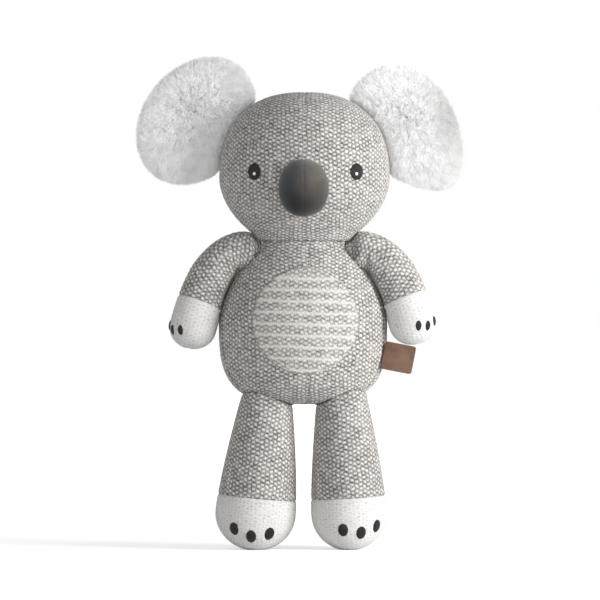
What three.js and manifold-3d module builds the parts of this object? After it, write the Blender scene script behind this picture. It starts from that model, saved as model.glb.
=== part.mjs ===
// A knitted plush koala, 35 cm tall, as separate sewn pieces: knitted covers round fibre stuffing, ears with a
// fur face and a knitted back, a two-panel velour nose, embroidered eyes, claws and toes, an appliqued tummy
// patch and a leather side tag.
//
// Millimetres, +Z up. The koala faces -Y and stands on the flats of its two soles on the plane Z = 0, so its own
// left side is +X. The origin lies under the middle of the space that the whole toy takes, and the body a little
// to its left.
//
// Every stuffed piece is a "form": a function of how far its surface is grown outwards. A cover is the form less
// the form shrunk by the fabric's thickness, and the stuffing is the form inside that. The head, ears, arms,
// legs and tag each hang in a group that stands at the seam they turn on.

import * as THREE from "three";
import { mergeVertices } from "three/addons/utils/BufferGeometryUtils.js";
import Module from "manifold-3d";

const wasm = await Module();
wasm.setup();

// Fabrics, and the gap that is left between two sewn pieces
const knitThickness = 2.2;
const furThickness = 5;
const velourThickness = 1.2;
const threadHeight = 0.9;
const seamGap = 0.3;

// Body: an upright egg, pointed at the neck and full at the hips
const bodyOffset = 2.4;
const bodyHalfWidth = 60.6;
const bodyHalfDepth = 46;
const bodyRise = 71.1;
const bodyDrop = 60;
const bodyUpperRoundness = 1.58;
const bodyLowerRoundness = 3.2;
const bodySideSeamForward = 13;
const bodyFrontSeamOffset = 3.6;

// Head: a ball that is flatter on top and drawn in towards the neck
const headHalfWidth = 61.4;
const headHalfDepth = 56;
const headRise = 62;
const headDrop = 52.7;
const headUpperRoundness = 2.4;
const headLowerRoundness = 1.81;
const headOffset = 1.1;
const headSideSeamBack = 2;

// Neck: where the covers of the body and the head are cut level and sewn to each other
const bodyNeckShare = 0.807;
const headNeckShare = 0.861;

// Nose
const noseHalfWidth = 17.9;
const noseRise = 20.6;
const noseDrop = 20.6;
const noseHalfDepth = 21;
const noseBelowHead = 7.1;
const noseOffset = 0.4;
const noseSunk = 3;
const noseRoundness = 2.15;

// Eyes
const eyeHalfWidth = 4.6;
const eyeHalfHeight = 6;
const eyeAboveHead = 4.7;
const glintRadius = 1.5;
const glintBelowEye = 1.5;

// Ears: a soft oval in the plane of the head's side seam, thin where it is sewn on
const earHalfThickness = 10.5;
const earRoundness = 2.5;
const earRootHalfThickness = 0.9;
const earRootSlope = 1.05;
const earRootHem = 6;
const earHingeLift = 3;
const earBendForward = 30;
const earBendBack = 40;

// Tummy patch
const patchRadius = 38;
const patchThickness = 1.6;
const patchAboveBody = 0.2;
const patchOffset = 1.6;

// Legs: a tube that swells from the hip seam down to a rounded foot with a flat sole
const legLength = 110;
const legTopHalfWidth = 18;
const legTopHalfDepth = 22;
const footHalfDepth = 29;
const footRise = 27;
const footRoundness = 2.05;
const soleRoundness = 3;
const soleFlat = 0.5;
const footPieceHeight = 38;
const legForward = 5;
const legSwell = 1.4;
const hipShare = 0.91;
const hipToeOut = 9;
const hipSwing = 95;

// Arms: a bent tube from a ball at the shoulder to a rounded paw
const shoulderRadius = 13.6;
const shoulderSunk = 4.6;
const shoulderGap = 0.9;
const shoulderBelowNeck = 7.4;
const armForward = 3;
const armLean = 9;
const armBendOutShare = 0.66;
const armBendDownShare = 0.1;
const armRootShare = 1.06;
const armSwellShare = 0.35;
const armHalfWidth = 16.8;
const armHalfDepth = 14.8;
const pawTipLength = 16;
const pawRoundness = 2.1;
const pawLength = 34;

// Embroidered claws and toes, from the inner one to the outer one. Angles are in degrees from straight ahead.
const clawHalfWidth = 2.2;
const clawHalfHeight = 3.9;
const clawHeights = [13.6, 13.6, 17];
const clawAngles = [21, 50, 77];
const toeHalfWidth = 3.7;
const toeHalfHeight = 4.4;
const toeHeights = [12.4, 11, 16];
const toeAngles = [-30, 0, 30];

// Leather tag in the left side seam of the body
const tagLength = 21;
const tagHeight = 20;
const tagThickness = 1.6;
const tagCorner = 1.4;
const tagBelowBody = 24.6;
const tagTilt = 11;
const tagHingeLift = 2.2;
const tagSwing = 45;

// How the two sides of this toy are set and stuffed: ears, arms, legs and the turn of their claws and toes
const rightEyeOut = 36.2;
const rightEarOut = 78;
const rightEarUp = 41.8;
const rightEarHalfLength = 50.6;
const rightEarHalfWidth = 39.1;
const rightEarTilt = 52.5;
const rightEarEggShare = 0.02;
const rightArmReach = 38.3;
const rightArmFall = 69.6;
const rightClawTurn = 7;
const rightHipOut = 26;
const rightSplay = 5.6;
const rightFootHalfWidth = 28.8;
const rightToeTurn = 4;

const leftEyeOut = 37.1;
const leftEarOut = 75.6;
const leftEarUp = 34.4;
const leftEarHalfLength = 51.6;
const leftEarHalfWidth = 36.1;
const leftEarTilt = 50.6;
const leftEarEggShare = -0.26;
const leftArmReach = 38.1;
const leftArmFall = 66.4;
const leftClawTurn = -7;
const leftHipOut = 28;
const leftSplay = 3.6;
const leftFootHalfWidth = 27.2;
const leftToeTurn = 17;

const sides = [
  {
    name: "right",
    sign: -1,
    eyeOut: rightEyeOut,
    earOut: rightEarOut,
    earUp: rightEarUp,
    earHalfLength: rightEarHalfLength,
    earHalfWidth: rightEarHalfWidth,
    earTilt: rightEarTilt,
    earEgg: rightEarEggShare,
    armReach: rightArmReach,
    armFall: rightArmFall,
    clawTurn: rightClawTurn,
    hipOut: rightHipOut,
    splay: rightSplay,
    footHalfWidth: rightFootHalfWidth,
    toeTurn: rightToeTurn,
  },
  {
    name: "left",
    sign: 1,
    eyeOut: leftEyeOut,
    earOut: leftEarOut,
    earUp: leftEarUp,
    earHalfLength: leftEarHalfLength,
    earHalfWidth: leftEarHalfWidth,
    earTilt: leftEarTilt,
    earEgg: leftEarEggShare,
    armReach: leftArmReach,
    armFall: leftArmFall,
    clawTurn: leftClawTurn,
    hipOut: leftHipOut,
    splay: leftSplay,
    footHalfWidth: leftFootHalfWidth,
    toeTurn: leftToeTurn,
  },
];

// How finely round surfaces are faceted, and how far cuts run past the toy
const coverSides = 26;
const coverRings = 16;
const liningSides = 16;
const liningRings = 10;
const limbSides = 16;
const limbRings = 12;
const limbLiningSides = 10;
const limbLiningRings = 7;
const earRings = 8;
const earLiningRings = 5;
const ballSides = 16;
const clearanceSides = 14;
const clearanceRings = 10;
const markSides = 10;
const tipRadius = 0.4;
const overrun = 900;

// Heights and depths that follow from the sizes above
const bodyZ = legLength + bodyDrop * hipShare;
const neckZ = bodyZ + bodyRise * bodyNeckShare;
const headZ = neckZ + headDrop * headNeckShare;
const shoulderZ = neckZ - shoulderBelowNeck;
const noseSeat = headHalfDepth * roundShare(noseBelowHead / headDrop, headLowerRoundness);
const noseOut = noseSeat - noseSunk + noseHalfDepth;
const middleY = (noseOut - headHalfDepth) / 2;
const shoulderY = middleY - armForward;
const hipY = middleY - legForward;
const bodySeamY = middleY - bodySideSeamForward;
const headSeamY = middleY + headSideSeamBack;

const upward = new THREE.Vector3(0, 0, 1);
const backward = new THREE.Vector3(0, 1, 0);
const forward = new THREE.Vector3(0, -1, 0);
const toLeft = new THREE.Vector3(1, 0, 0);
const toRight = new THREE.Vector3(-1, 0, 0);

const materials = {
  greyKnit: new THREE.MeshStandardMaterial({ color: "#b4aea8", roughness: 0.95, metalness: 0 }),
  stripedKnit: new THREE.MeshStandardMaterial({ color: "#dedad3", roughness: 0.95, metalness: 0 }),
  whiteKnit: new THREE.MeshStandardMaterial({ color: "#efefec", roughness: 0.95, metalness: 0 }),
  fur: new THREE.MeshStandardMaterial({ color: "#f1f2ee", roughness: 1, metalness: 0 }),
  darkVelour: new THREE.MeshStandardMaterial({ color: "#414245", roughness: 0.8, metalness: 0 }),
  lightVelour: new THREE.MeshStandardMaterial({ color: "#625e5a", roughness: 0.8, metalness: 0 }),
  darkThread: new THREE.MeshStandardMaterial({ color: "#39373a", roughness: 0.5, metalness: 0 }),
  whiteThread: new THREE.MeshStandardMaterial({ color: "#f4f4f2", roughness: 0.5, metalness: 0 }),
  leather: new THREE.MeshStandardMaterial({ color: "#8d6654", roughness: 0.6, metalness: 0 }),
  stuffing: new THREE.MeshStandardMaterial({ color: "#f6f6f2", roughness: 1, metalness: 0 }),
};

// The share of a superellipse's half width that is left at a share of its half height.
function roundShare(share, roundness) {
  return Math.max(0, 1 - Math.abs(share) ** roundness) ** (1 / roundness);
}

// A closed geometry as a solid that can be cut and joined.
function solidOf(geometry) {
  const bare = new THREE.BufferGeometry().setAttribute("position", geometry.getAttribute("position"));
  bare.setIndex(geometry.index);
  const merged = mergeVertices(bare, 1e-4);
  const corners = merged.index.array;
  const triVerts = [];
  for (let i = 0; i < corners.length; i += 3) {
    const [a, b, c] = corners.slice(i, i + 3);
    if (a !== b && b !== c && c !== a) triVerts.push(a, b, c);
  }
  const vertProperties = merged.getAttribute("position").array;
  return new wasm.Manifold(new wasm.Mesh({ numProp: 3, vertProperties, triVerts: new Uint32Array(triVerts) }));
}

// A solid as a geometry to draw, moved so that a point of the toy becomes its origin.
function geometryOf(solid, origin) {
  const mesh = solid.getMesh();
  const positions = new Float32Array(mesh.numVert * 3);
  for (let i = 0; i < mesh.numVert; i++) {
    positions.set(mesh.vertProperties.subarray(i * mesh.numProp, i * mesh.numProp + 3), i * 3);
  }
  const geometry = new THREE.BufferGeometry();
  geometry.setAttribute("position", new THREE.BufferAttribute(positions, 3));
  geometry.setIndex(new THREE.BufferAttribute(mesh.triVerts, 1));
  geometry.translate(-origin.x, -origin.y, -origin.z);
  const faceted = geometry.toNonIndexed();
  faceted.computeVertexNormals();
  return faceted;
}

// Everything on the side of a plane that its normal points to.
function halfSpace(point, normal) {
  const block = new THREE.BoxGeometry(overrun, overrun, overrun).translate(0, 0, overrun / 2);
  const turn = new THREE.Quaternion().setFromUnitVectors(upward, normal.clone().normalize());
  return solidOf(block.applyQuaternion(turn).translate(point.x, point.y, point.z));
}

// A closed skin over rings of points, with a middle point to close each end.
function skin(rings) {
  const around = rings[0].length;
  const points = rings.flat();
  for (const ring of [rings[0], rings[rings.length - 1]]) {
    const sum = ring.reduce((total, point) => total.add(point), new THREE.Vector3());
    points.push(sum.divideScalar(around));
  }
  const [start, end] = [points.length - 2, points.length - 1];
  const last = (rings.length - 1) * around;
  const faces = [];
  for (let j = 0; j < around; j++) {
    const next = (j + 1) % around;
    faces.push(start, next, j, end, last + j, last + next);
    for (let i = 0; i < rings.length - 1; i++) {
      const [a, b, c, d] = [i * around + j, i * around + next, (i + 1) * around + next, (i + 1) * around + j];
      faces.push(a, b, c, a, c, d);
    }
  }
  return new THREE.BufferGeometry().setFromPoints(points).setIndex(faces);
}

// An egg about the vertical: a superelliptic profile revolved, then flattened from front to back.
function egg({ halfWidth, halfDepth, rise, drop, upper, lower, centre, around, along }) {
  const profile = [new THREE.Vector2(0, -drop)];
  for (let i = 1; i < along; i++) {
    const angle = Math.PI * (i / along - 0.5);
    const [height, roundness] = angle < 0 ? [drop, lower] : [rise, upper];
    const out = halfWidth * Math.abs(Math.cos(angle)) ** (2 / roundness);
    const up = height * Math.sign(angle) * Math.abs(Math.sin(angle)) ** (2 / roundness);
    profile.push(new THREE.Vector2(out, up));
  }
  profile.push(new THREE.Vector2(0, rise));
  const turned = new THREE.LatheGeometry(profile, around).rotateX(Math.PI / 2);
  return turned.scale(1, halfDepth / halfWidth, 1).translate(centre.x, centre.y, centre.z);
}

// The body and the head, grown by some millimetres.
function bodyEgg(grow) {
  return egg({
    halfWidth: bodyHalfWidth + grow,
    halfDepth: bodyHalfDepth + grow,
    rise: bodyRise + grow,
    drop: bodyDrop + grow,
    upper: bodyUpperRoundness,
    lower: bodyLowerRoundness,
    centre: new THREE.Vector3(0, middleY, bodyZ),
    around: grow < 0 ? liningSides : coverSides,
    along: grow < 0 ? liningRings : coverRings,
  });
}

function headEgg(grow, halfDepth = headHalfDepth) {
  return egg({
    halfWidth: headHalfWidth + grow,
    halfDepth: halfDepth + grow,
    rise: headRise + grow,
    drop: headDrop + grow,
    upper: headUpperRoundness,
    lower: headLowerRoundness,
    centre: new THREE.Vector3(headOffset, middleY, headZ),
    around: grow < 0 ? liningSides : coverSides,
    along: grow < 0 ? liningRings : coverRings,
  });
}

const bodyForm = (grow) => solidOf(bodyEgg(grow));
const headForm = (grow) => solidOf(headEgg(grow));

// Half the body's width at a height, and its underside's height at a place across and behind its middle.
function bodyHalfWidthAt(height) {
  const lift = height - bodyZ;
  if (lift > 0) return bodyHalfWidth * roundShare(lift / bodyRise, bodyUpperRoundness);
  return bodyHalfWidth * roundShare(lift / bodyDrop, bodyLowerRoundness);
}

function bodyUndersideAt(across, behind) {
  const share = Math.hypot(across / bodyHalfWidth, behind / bodyHalfDepth);
  return bodyZ - bodyDrop * roundShare(share, bodyLowerRoundness);
}

// A group that stands where a piece turns, which its meshes hang in.
const koala = new THREE.Group();

function pivotGroup(name, place, axis) {
  const group = new THREE.Group();
  group.name = name;
  group.position.copy(place);
  group.userData.axis = axis.clone().normalize();
  koala.add(group);
  return group;
}

function add(group, name, solid, material) {
  const mesh = new THREE.Mesh(geometryOf(solid, group.position), material);
  mesh.name = name;
  group.add(mesh);
}

// Cuts a cover into a left front, a right front and a back panel along its centre and side seams.
function addPanels(group, name, cover, seamX, seamY) {
  const gap = seamGap / 2;
  const before = halfSpace(new THREE.Vector3(0, seamY - gap, 0), forward);
  for (const { name: side, sign } of sides) {
    const half = halfSpace(new THREE.Vector3(seamX + sign * gap, 0, 0), toLeft.clone().multiplyScalar(sign));
    add(group, `${name}_front_${side}`, cover.intersect(before).intersect(half), materials.greyKnit);
  }
  const behind = halfSpace(new THREE.Vector3(0, seamY + gap, 0), backward);
  add(group, `${name}_back`, cover.intersect(behind), materials.greyKnit);
}

// Cuts a limb's cover across into a grey sleeve and the white end piece beyond it.
function addSleeveAndEnd(group, cover, cuff, down, sleeveName, endName) {
  const above = halfSpace(cuff.clone().addScaledVector(down, -seamGap / 2), down.clone().negate());
  const below = halfSpace(cuff.clone().addScaledVector(down, seamGap / 2), down);
  add(group, sleeveName, cover.intersect(above), materials.greyKnit);
  add(group, endName, cover.intersect(below), materials.whiteKnit);
}

// An oval column from a point out to the front, turned by some degrees towards the left.
function ovalColumn(from, halfWidth, halfHeight, degrees, around) {
  const oval = new THREE.CylinderGeometry(1, 1, overrun / 2, around).translate(0, -overrun / 4, 0);
  oval.scale(halfWidth, 1, halfHeight).rotateZ(THREE.MathUtils.degToRad(degrees));
  return solidOf(oval.translate(from.x, from.y, from.z));
}

// A patch of a given outline laid on a form, as an applique or a satin stitch lies on the cloth.
function laidOn(form, outline, lift, thickness) {
  return form(lift + thickness).subtract(form(lift)).intersect(outline);
}

// A piece less what it turns against, in each of the angles that it turns to.
function clearedInTurning(piece, still, { x, y, z }, axis, degrees) {
  const cuts = degrees.map((angle) => {
    const turn = new THREE.Quaternion().setFromAxisAngle(axis, -THREE.MathUtils.degToRad(angle));
    return solidOf(still.clone().translate(-x, -y, -z).applyQuaternion(turn).translate(x, y, z));
  });
  return cuts.reduce((solid, cut) => solid.subtract(cut), piece);
}

// Shoulders: the ball at the arm's root turns in a dimple in the body.
function shoulderAt({ sign }) {
  const out = bodyHalfWidthAt(shoulderZ) + shoulderRadius - shoulderSunk;
  return new THREE.Vector3(sign * out, shoulderY, shoulderZ);
}

function shoulderBall(side, grow) {
  const { x, y, z } = shoulderAt(side);
  const ball = new THREE.SphereGeometry(shoulderRadius + grow, ballSides, ballSides / 2);
  return solidOf(ball.rotateZ(Math.PI / 2).translate(x, y, z));
}

function addBody() {
  const form = (grow) => {
    const neck = halfSpace(new THREE.Vector3(0, 0, neckZ - seamGap / 2), upward);
    const dimples = sides.map((side) => shoulderBall(side, shoulderGap - grow));
    return dimples.reduce((solid, dimple) => solid.subtract(dimple), bodyForm(grow).subtract(neck));
  };
  addPanels(koala, "body", form(0).subtract(form(-knitThickness)), bodyFrontSeamOffset, bodySeamY);
  add(koala, "body_stuffing", form(-knitThickness - seamGap), materials.stuffing);
  const middle = new THREE.Vector3(patchOffset, middleY, bodyZ + patchAboveBody);
  const outline = ovalColumn(middle, patchRadius, patchRadius, 0, coverSides);
  add(koala, "tummy_patch", laidOn(bodyForm, outline, seamGap, patchThickness), materials.stripedKnit);
}

function addHead() {
  const group = pivotGroup("neck", new THREE.Vector3(headOffset, middleY, neckZ), upward);
  const neck = halfSpace(new THREE.Vector3(0, 0, neckZ + seamGap / 2), upward);
  const form = (grow) => headForm(grow).intersect(neck);
  addPanels(group, "head", form(0).subtract(form(-knitThickness)), headOffset, headSeamY);
  add(group, "head_stuffing", form(-knitThickness - seamGap), materials.stuffing);
  addNose(group);
  for (const { name, sign, eyeOut } of sides) {
    const middle = new THREE.Vector3(headOffset + sign * eyeOut, middleY, headZ + eyeAboveHead);
    const eye = ovalColumn(middle, eyeHalfWidth, eyeHalfHeight, 0, markSides);
    add(group, `${name}_eye`, laidOn(headForm, eye, seamGap, threadHeight), materials.darkThread);
    middle.z -= glintBelowEye;
    const glint = ovalColumn(middle, glintRadius, glintRadius, 0, markSides);
    const lift = seamGap + threadHeight + seamGap;
    add(group, `${name}_eye_glint`, laidOn(headForm, glint, lift, threadHeight), materials.whiteThread);
  }
}

function addNose(group) {
  const form = (grow) => {
    const oval = egg({
      halfWidth: noseHalfWidth + grow,
      halfDepth: noseHalfDepth + grow,
      rise: noseRise + grow,
      drop: noseDrop + grow,
      upper: noseRoundness,
      lower: noseRoundness,
      centre: new THREE.Vector3(noseOffset, middleY - noseSeat + noseSunk, headZ - noseBelowHead),
      around: grow < 0 ? limbLiningSides : limbSides,
      along: grow < 0 ? limbLiningRings : liningRings,
    });
    return solidOf(oval).subtract(headForm(seamGap - grow));
  };
  const cover = form(0).subtract(form(-velourThickness));
  for (const { name, sign } of sides) {
    const seam = new THREE.Vector3(noseOffset + (sign * seamGap) / 2, 0, 0);
    const half = halfSpace(seam, toLeft.clone().multiplyScalar(sign));
    const velour = sign < 0 ? materials.darkVelour : materials.lightVelour;
    add(group, `nose_${name}`, cover.intersect(half), velour);
  }
  add(group, "nose_stuffing", form(-velourThickness - seamGap), materials.stuffing);
}

// Where an ear's oval lies in the plane of the head's side seam, and the line at its root that it bends on.
function earFrame({ sign, earOut, earUp, earTilt }) {
  const head = new THREE.Vector3(headOffset, headSeamY, headZ);
  const outward = new THREE.Vector3(sign * earOut, 0, earUp).normalize();
  const [across, up] = [Math.abs(outward.x) / headHalfWidth, outward.z / headRise];
  const [x, z] = [across ** headUpperRoundness, up ** headUpperRoundness];
  const root = head.clone().addScaledVector(outward, (x + z) ** (-1 / headUpperRoundness));
  const normal = new THREE.Vector3(x / outward.x, 0, z / outward.z).normalize();
  const tilt = THREE.MathUtils.degToRad(earTilt);
  return {
    centre: head.clone().add(new THREE.Vector3(sign * earOut, 0, earUp)),
    long: new THREE.Vector3(sign * Math.cos(tilt), 0, -Math.sin(tilt)),
    wide: new THREE.Vector3(sign * Math.sin(tilt), 0, Math.cos(tilt)),
    hinge: root.clone().addScaledVector(normal, earHingeLift),
    axis: new THREE.Vector3().crossVectors(normal, backward).normalize(),
  };
}

// How far a point in an ear's plane lies outside the head.
function clearOfHead(point) {
  const lift = point.z - headZ;
  const [height, roundness] = lift < 0 ? [headDrop, headLowerRoundness] : [headRise, headUpperRoundness];
  const across = Math.abs(point.x - headOffset) / headHalfWidth;
  const share = (across ** roundness + Math.abs(lift / height) ** roundness) ** (1 / roundness);
  return Math.max(0, share - 1) * height;
}

// An ear, grown by one amount on its fur face and by another on its knitted back.
function earForm(side, growFace, growBack, clearance) {
  const { centre, long, wide, hinge, axis } = earFrame(side);
  const [around, along] = growFace < 0 ? [liningSides, earLiningRings] : [coverSides, earRings];
  const grow = Math.min(growFace, growBack);
  const rings = [];
  for (let i = 1; i < along; i++) {
    const angle = Math.PI * (i / along - 0.5);
    const out = Math.cos(angle) ** (2 / earRoundness);
    const up = Math.sign(angle) * Math.abs(Math.sin(angle)) ** (2 / earRoundness);
    const growHere = angle < 0 ? growFace : growBack;
    const ring = [];
    for (let j = 0; j < around; j++) {
      const turn = (2 * Math.PI * j) / around;
      const swell = 1 + side.earEgg * Math.cos(turn);
      const point = centre.clone().addScaledVector(long, out * (side.earHalfLength + grow) * Math.cos(turn));
      point.addScaledVector(wide, out * swell * (side.earHalfWidth + grow) * Math.sin(turn));
      const limit = Math.max(seamGap, earRootHalfThickness + growHere + earRootSlope * clearOfHead(point));
      const full = earHalfThickness + growHere;
      point.y += up * (full ** -3 + limit ** -3) ** (-1 / 3);
      ring.push(point);
    }
    rings.push(side.sign < 0 ? ring : ring.reverse());
  }
  const bends = [-earBendForward, -earBendForward / 2, 0, earBendBack / 2, earBendBack];
  return clearedInTurning(solidOf(skin(rings)), headEgg(clearance), hinge, axis, bends);
}

function addEar(side) {
  const { hinge, axis } = earFrame(side);
  const group = pivotGroup(`${side.name}_ear`, hinge, axis);
  const hem = seamGap + earRootHem;
  const hollow = earForm(side, -furThickness, -knitThickness, hem);
  const cover = earForm(side, 0, 0, seamGap).subtract(hollow);
  const before = halfSpace(new THREE.Vector3(0, headSeamY - seamGap / 2, 0), forward);
  const behind = halfSpace(new THREE.Vector3(0, headSeamY + seamGap / 2, 0), backward);
  add(group, `${side.name}_ear_fur_face`, cover.intersect(before), materials.fur);
  add(group, `${side.name}_ear_knit_back`, cover.intersect(behind), materials.greyKnit);
  const wadding = earForm(side, -furThickness - seamGap, -knitThickness - seamGap, hem + seamGap);
  add(group, `${side.name}_ear_wadding`, wadding, materials.stuffing);
}

function armPath(side) {
  const start = shoulderAt(side);
  const run = new THREE.Vector3(side.sign * side.armReach, -armLean, -side.armFall);
  const bend = run.clone().multiply(new THREE.Vector3(armBendOutShare, armBendDownShare, armBendDownShare));
  return new THREE.QuadraticBezierCurve3(start, start.clone().add(bend), start.clone().add(run));
}

function ovalRing(centre, across, deep, halfWidth, halfDepth, around) {
  const ring = [];
  for (let j = 0; j < around; j++) {
    const turn = (2 * Math.PI * j) / around;
    const point = centre.clone().addScaledVector(across, halfWidth * Math.cos(turn));
    ring.push(point.addScaledVector(deep, halfDepth * Math.sin(turn)));
  }
  return ring;
}

// One ring of an arm at a distance along it. The last stretch rounds off into the paw's tip.
function armRing(path, length, along, grow, around) {
  const share = Math.min(1, along / length);
  const down = path.getTangentAt(share);
  const across = new THREE.Vector3().crossVectors(backward, down).normalize();
  const deep = new THREE.Vector3().crossVectors(down, across);
  const centre = path.getPointAt(share).addScaledVector(down, Math.max(0, along - length));
  const beyond = Math.max(0, along - length + pawTipLength);
  const tip = roundShare(beyond / (pawTipLength + grow), pawRoundness);
  const root = shoulderRadius * armRootShare;
  const swell = Math.min(1, share / armSwellShare);
  const halfWidth = Math.max(tipRadius, (root + (armHalfWidth - root) * swell + grow) * tip);
  const halfDepth = Math.max(tipRadius, (root + (armHalfDepth - root) * swell + grow) * tip);
  return ovalRing(centre, across, deep, halfWidth, halfDepth, around);
}

// The space that the body's side takes as seen from an arm that swings about its shoulder: the side's outline
// turned about the line through both shoulders.
function armClearance(side, grow) {
  const deepest = shoulderZ - bodyZ;
  const profile = [new THREE.Vector2(0, 0), new THREE.Vector2(overrun / 2, 0)];
  profile.push(new THREE.Vector2(overrun / 2, bodyHalfWidth + grow));
  for (let i = 0; i <= clearanceRings; i++) {
    const radius = deepest * (1 - i / clearanceRings);
    profile.push(new THREE.Vector2(radius, bodyHalfWidthAt(shoulderZ - radius) + grow));
  }
  const dish = new THREE.LatheGeometry(profile, clearanceSides).rotateZ((-side.sign * Math.PI) / 2);
  return solidOf(dish.translate(0, shoulderY, shoulderZ));
}

function armForm(side, grow) {
  const path = armPath(side);
  const length = path.getLength();
  const [around, along] = grow < 0 ? [limbLiningSides, limbLiningRings] : [limbSides, limbRings];
  const rings = [];
  for (let i = 0; i <= along; i++) {
    const distance = (length + grow) * Math.sin((i / along) * (Math.PI / 2)) ** 1.2;
    rings.push(armRing(path, length, distance, grow, around));
  }
  const sweptHead = solidOf(headEgg(seamGap - grow, headHalfWidth));
  return solidOf(skin(rings))
    .subtract(armClearance(side, seamGap - grow))
    .subtract(sweptHead)
    .add(shoulderBall(side, grow));
}

function addArm(side) {
  const group = pivotGroup(`${side.name}_shoulder`, shoulderAt(side), toRight);
  const cover = armForm(side, 0).subtract(armForm(side, -knitThickness));
  const path = armPath(side);
  const cuffShare = 1 - pawLength / path.getLength();
  const [cuff, down] = [path.getPointAt(cuffShare), path.getTangentAt(cuffShare)];
  addSleeveAndEnd(group, cover, cuff, down, `${side.name}_arm_sleeve`, `${side.name}_paw`);
  add(group, `${side.name}_arm_stuffing`, armForm(side, -knitThickness - seamGap), materials.stuffing);
  clawAngles.forEach((angle, i) => {
    const middle = path.getPointAt(1 - clawHeights[i] / path.getLength());
    const degrees = side.sign * (angle + side.clawTurn);
    const column = ovalColumn(middle, clawHalfWidth, clawHalfHeight, degrees, markSides);
    const claw = laidOn((grow) => armForm(side, grow), column, seamGap, threadHeight);
    add(group, `${side.name}_claw_${i + 1}`, claw, materials.darkThread);
  });
}

// A leg's middle line, and the front edge of its top seam, which it swings forward on.
function legFrame({ sign, splay, hipOut, footHalfWidth }) {
  const angle = THREE.MathUtils.degToRad(splay);
  const down = new THREE.Vector3(sign * Math.sin(angle), 0, -Math.cos(angle));
  const across = new THREE.Vector3().crossVectors(backward, down);
  const turn = -sign * THREE.MathUtils.degToRad(hipToeOut);
  const front = legTopHalfDepth + legForward;
  return {
    top: new THREE.Vector3(sign * hipOut, hipY, legLength),
    down,
    across,
    footHalfWidth,
    length: (legLength + soleFlat) / Math.cos(angle),
    hinge: new THREE.Vector3(sign * hipOut, middleY - front, bodyUndersideAt(hipOut, front) - seamGap),
    axis: across.clone().applyAxisAngle(down, turn).normalize(),
  };
}

// One ring of a leg at a distance below the hip. The last stretch rounds off into the foot.
function legRing({ top, down, across, length, footHalfWidth }, along, grow, around) {
  const centre = top.clone().addScaledVector(down, along);
  const straight = length - footRise;
  const swell = 1 - Math.max(0, 1 - Math.max(0, along) / straight) ** legSwell;
  const end = Math.max(0, along - straight) / (footRise + grow);
  const fullWidth = legTopHalfWidth + (footHalfWidth - legTopHalfWidth) * swell + grow;
  const fullDepth = legTopHalfDepth + (footHalfDepth - legTopHalfDepth) * swell + grow;
  const halfWidth = Math.max(tipRadius, fullWidth * roundShare(end, footRoundness));
  const halfDepth = Math.max(tipRadius, fullDepth * roundShare(end, soleRoundness));
  return ovalRing(centre, across, backward, halfWidth, halfDepth, around);
}

// A leg, cut by the floor and by the body in every place that the swinging leg meets it.
function legForm(side, grow) {
  const frame = legFrame(side);
  const [around, along] = grow < 0 ? [limbLiningSides, limbLiningRings] : [limbSides, limbRings];
  const rings = [];
  for (let i = 0; i <= along; i++) {
    const share = Math.sin((i / along) * (Math.PI / 2)) ** 1.1;
    rings.push(legRing(frame, (frame.length + grow + bodyDrop) * share - bodyDrop, grow, around));
  }
  const floor = halfSpace(new THREE.Vector3(0, 0, Math.max(0, -grow)), upward);
  const turns = [0, hipSwing / 4, hipSwing / 2, hipSwing];
  const leg = solidOf(skin(rings)).intersect(floor);
  return clearedInTurning(leg, bodyEgg(seamGap - grow), frame.hinge, frame.axis, turns);
}

function addLeg(side) {
  const frame = legFrame(side);
  const group = pivotGroup(`${side.name}_hip`, frame.hinge, frame.axis);
  const cover = legForm(side, 0).subtract(legForm(side, -knitThickness));
  const ankle = frame.top.clone().addScaledVector(frame.down, frame.length - footPieceHeight);
  addSleeveAndEnd(group, cover, ankle, frame.down, `${side.name}_leg_sleeve`, `${side.name}_foot`);
  add(group, `${side.name}_leg_stuffing`, legForm(side, -knitThickness - seamGap), materials.stuffing);
  toeAngles.forEach((angle, i) => {
    const middle = frame.top.clone().addScaledVector(frame.down, frame.length - toeHeights[i]);
    const degrees = side.sign * (angle + side.toeTurn);
    const column = ovalColumn(middle, toeHalfWidth, toeHalfHeight, degrees, markSides);
    const toe = laidOn((grow) => legForm(side, grow), column, seamGap, threadHeight);
    add(group, `${side.name}_toe_${i + 1}`, toe, materials.darkThread);
  });
}

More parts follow.
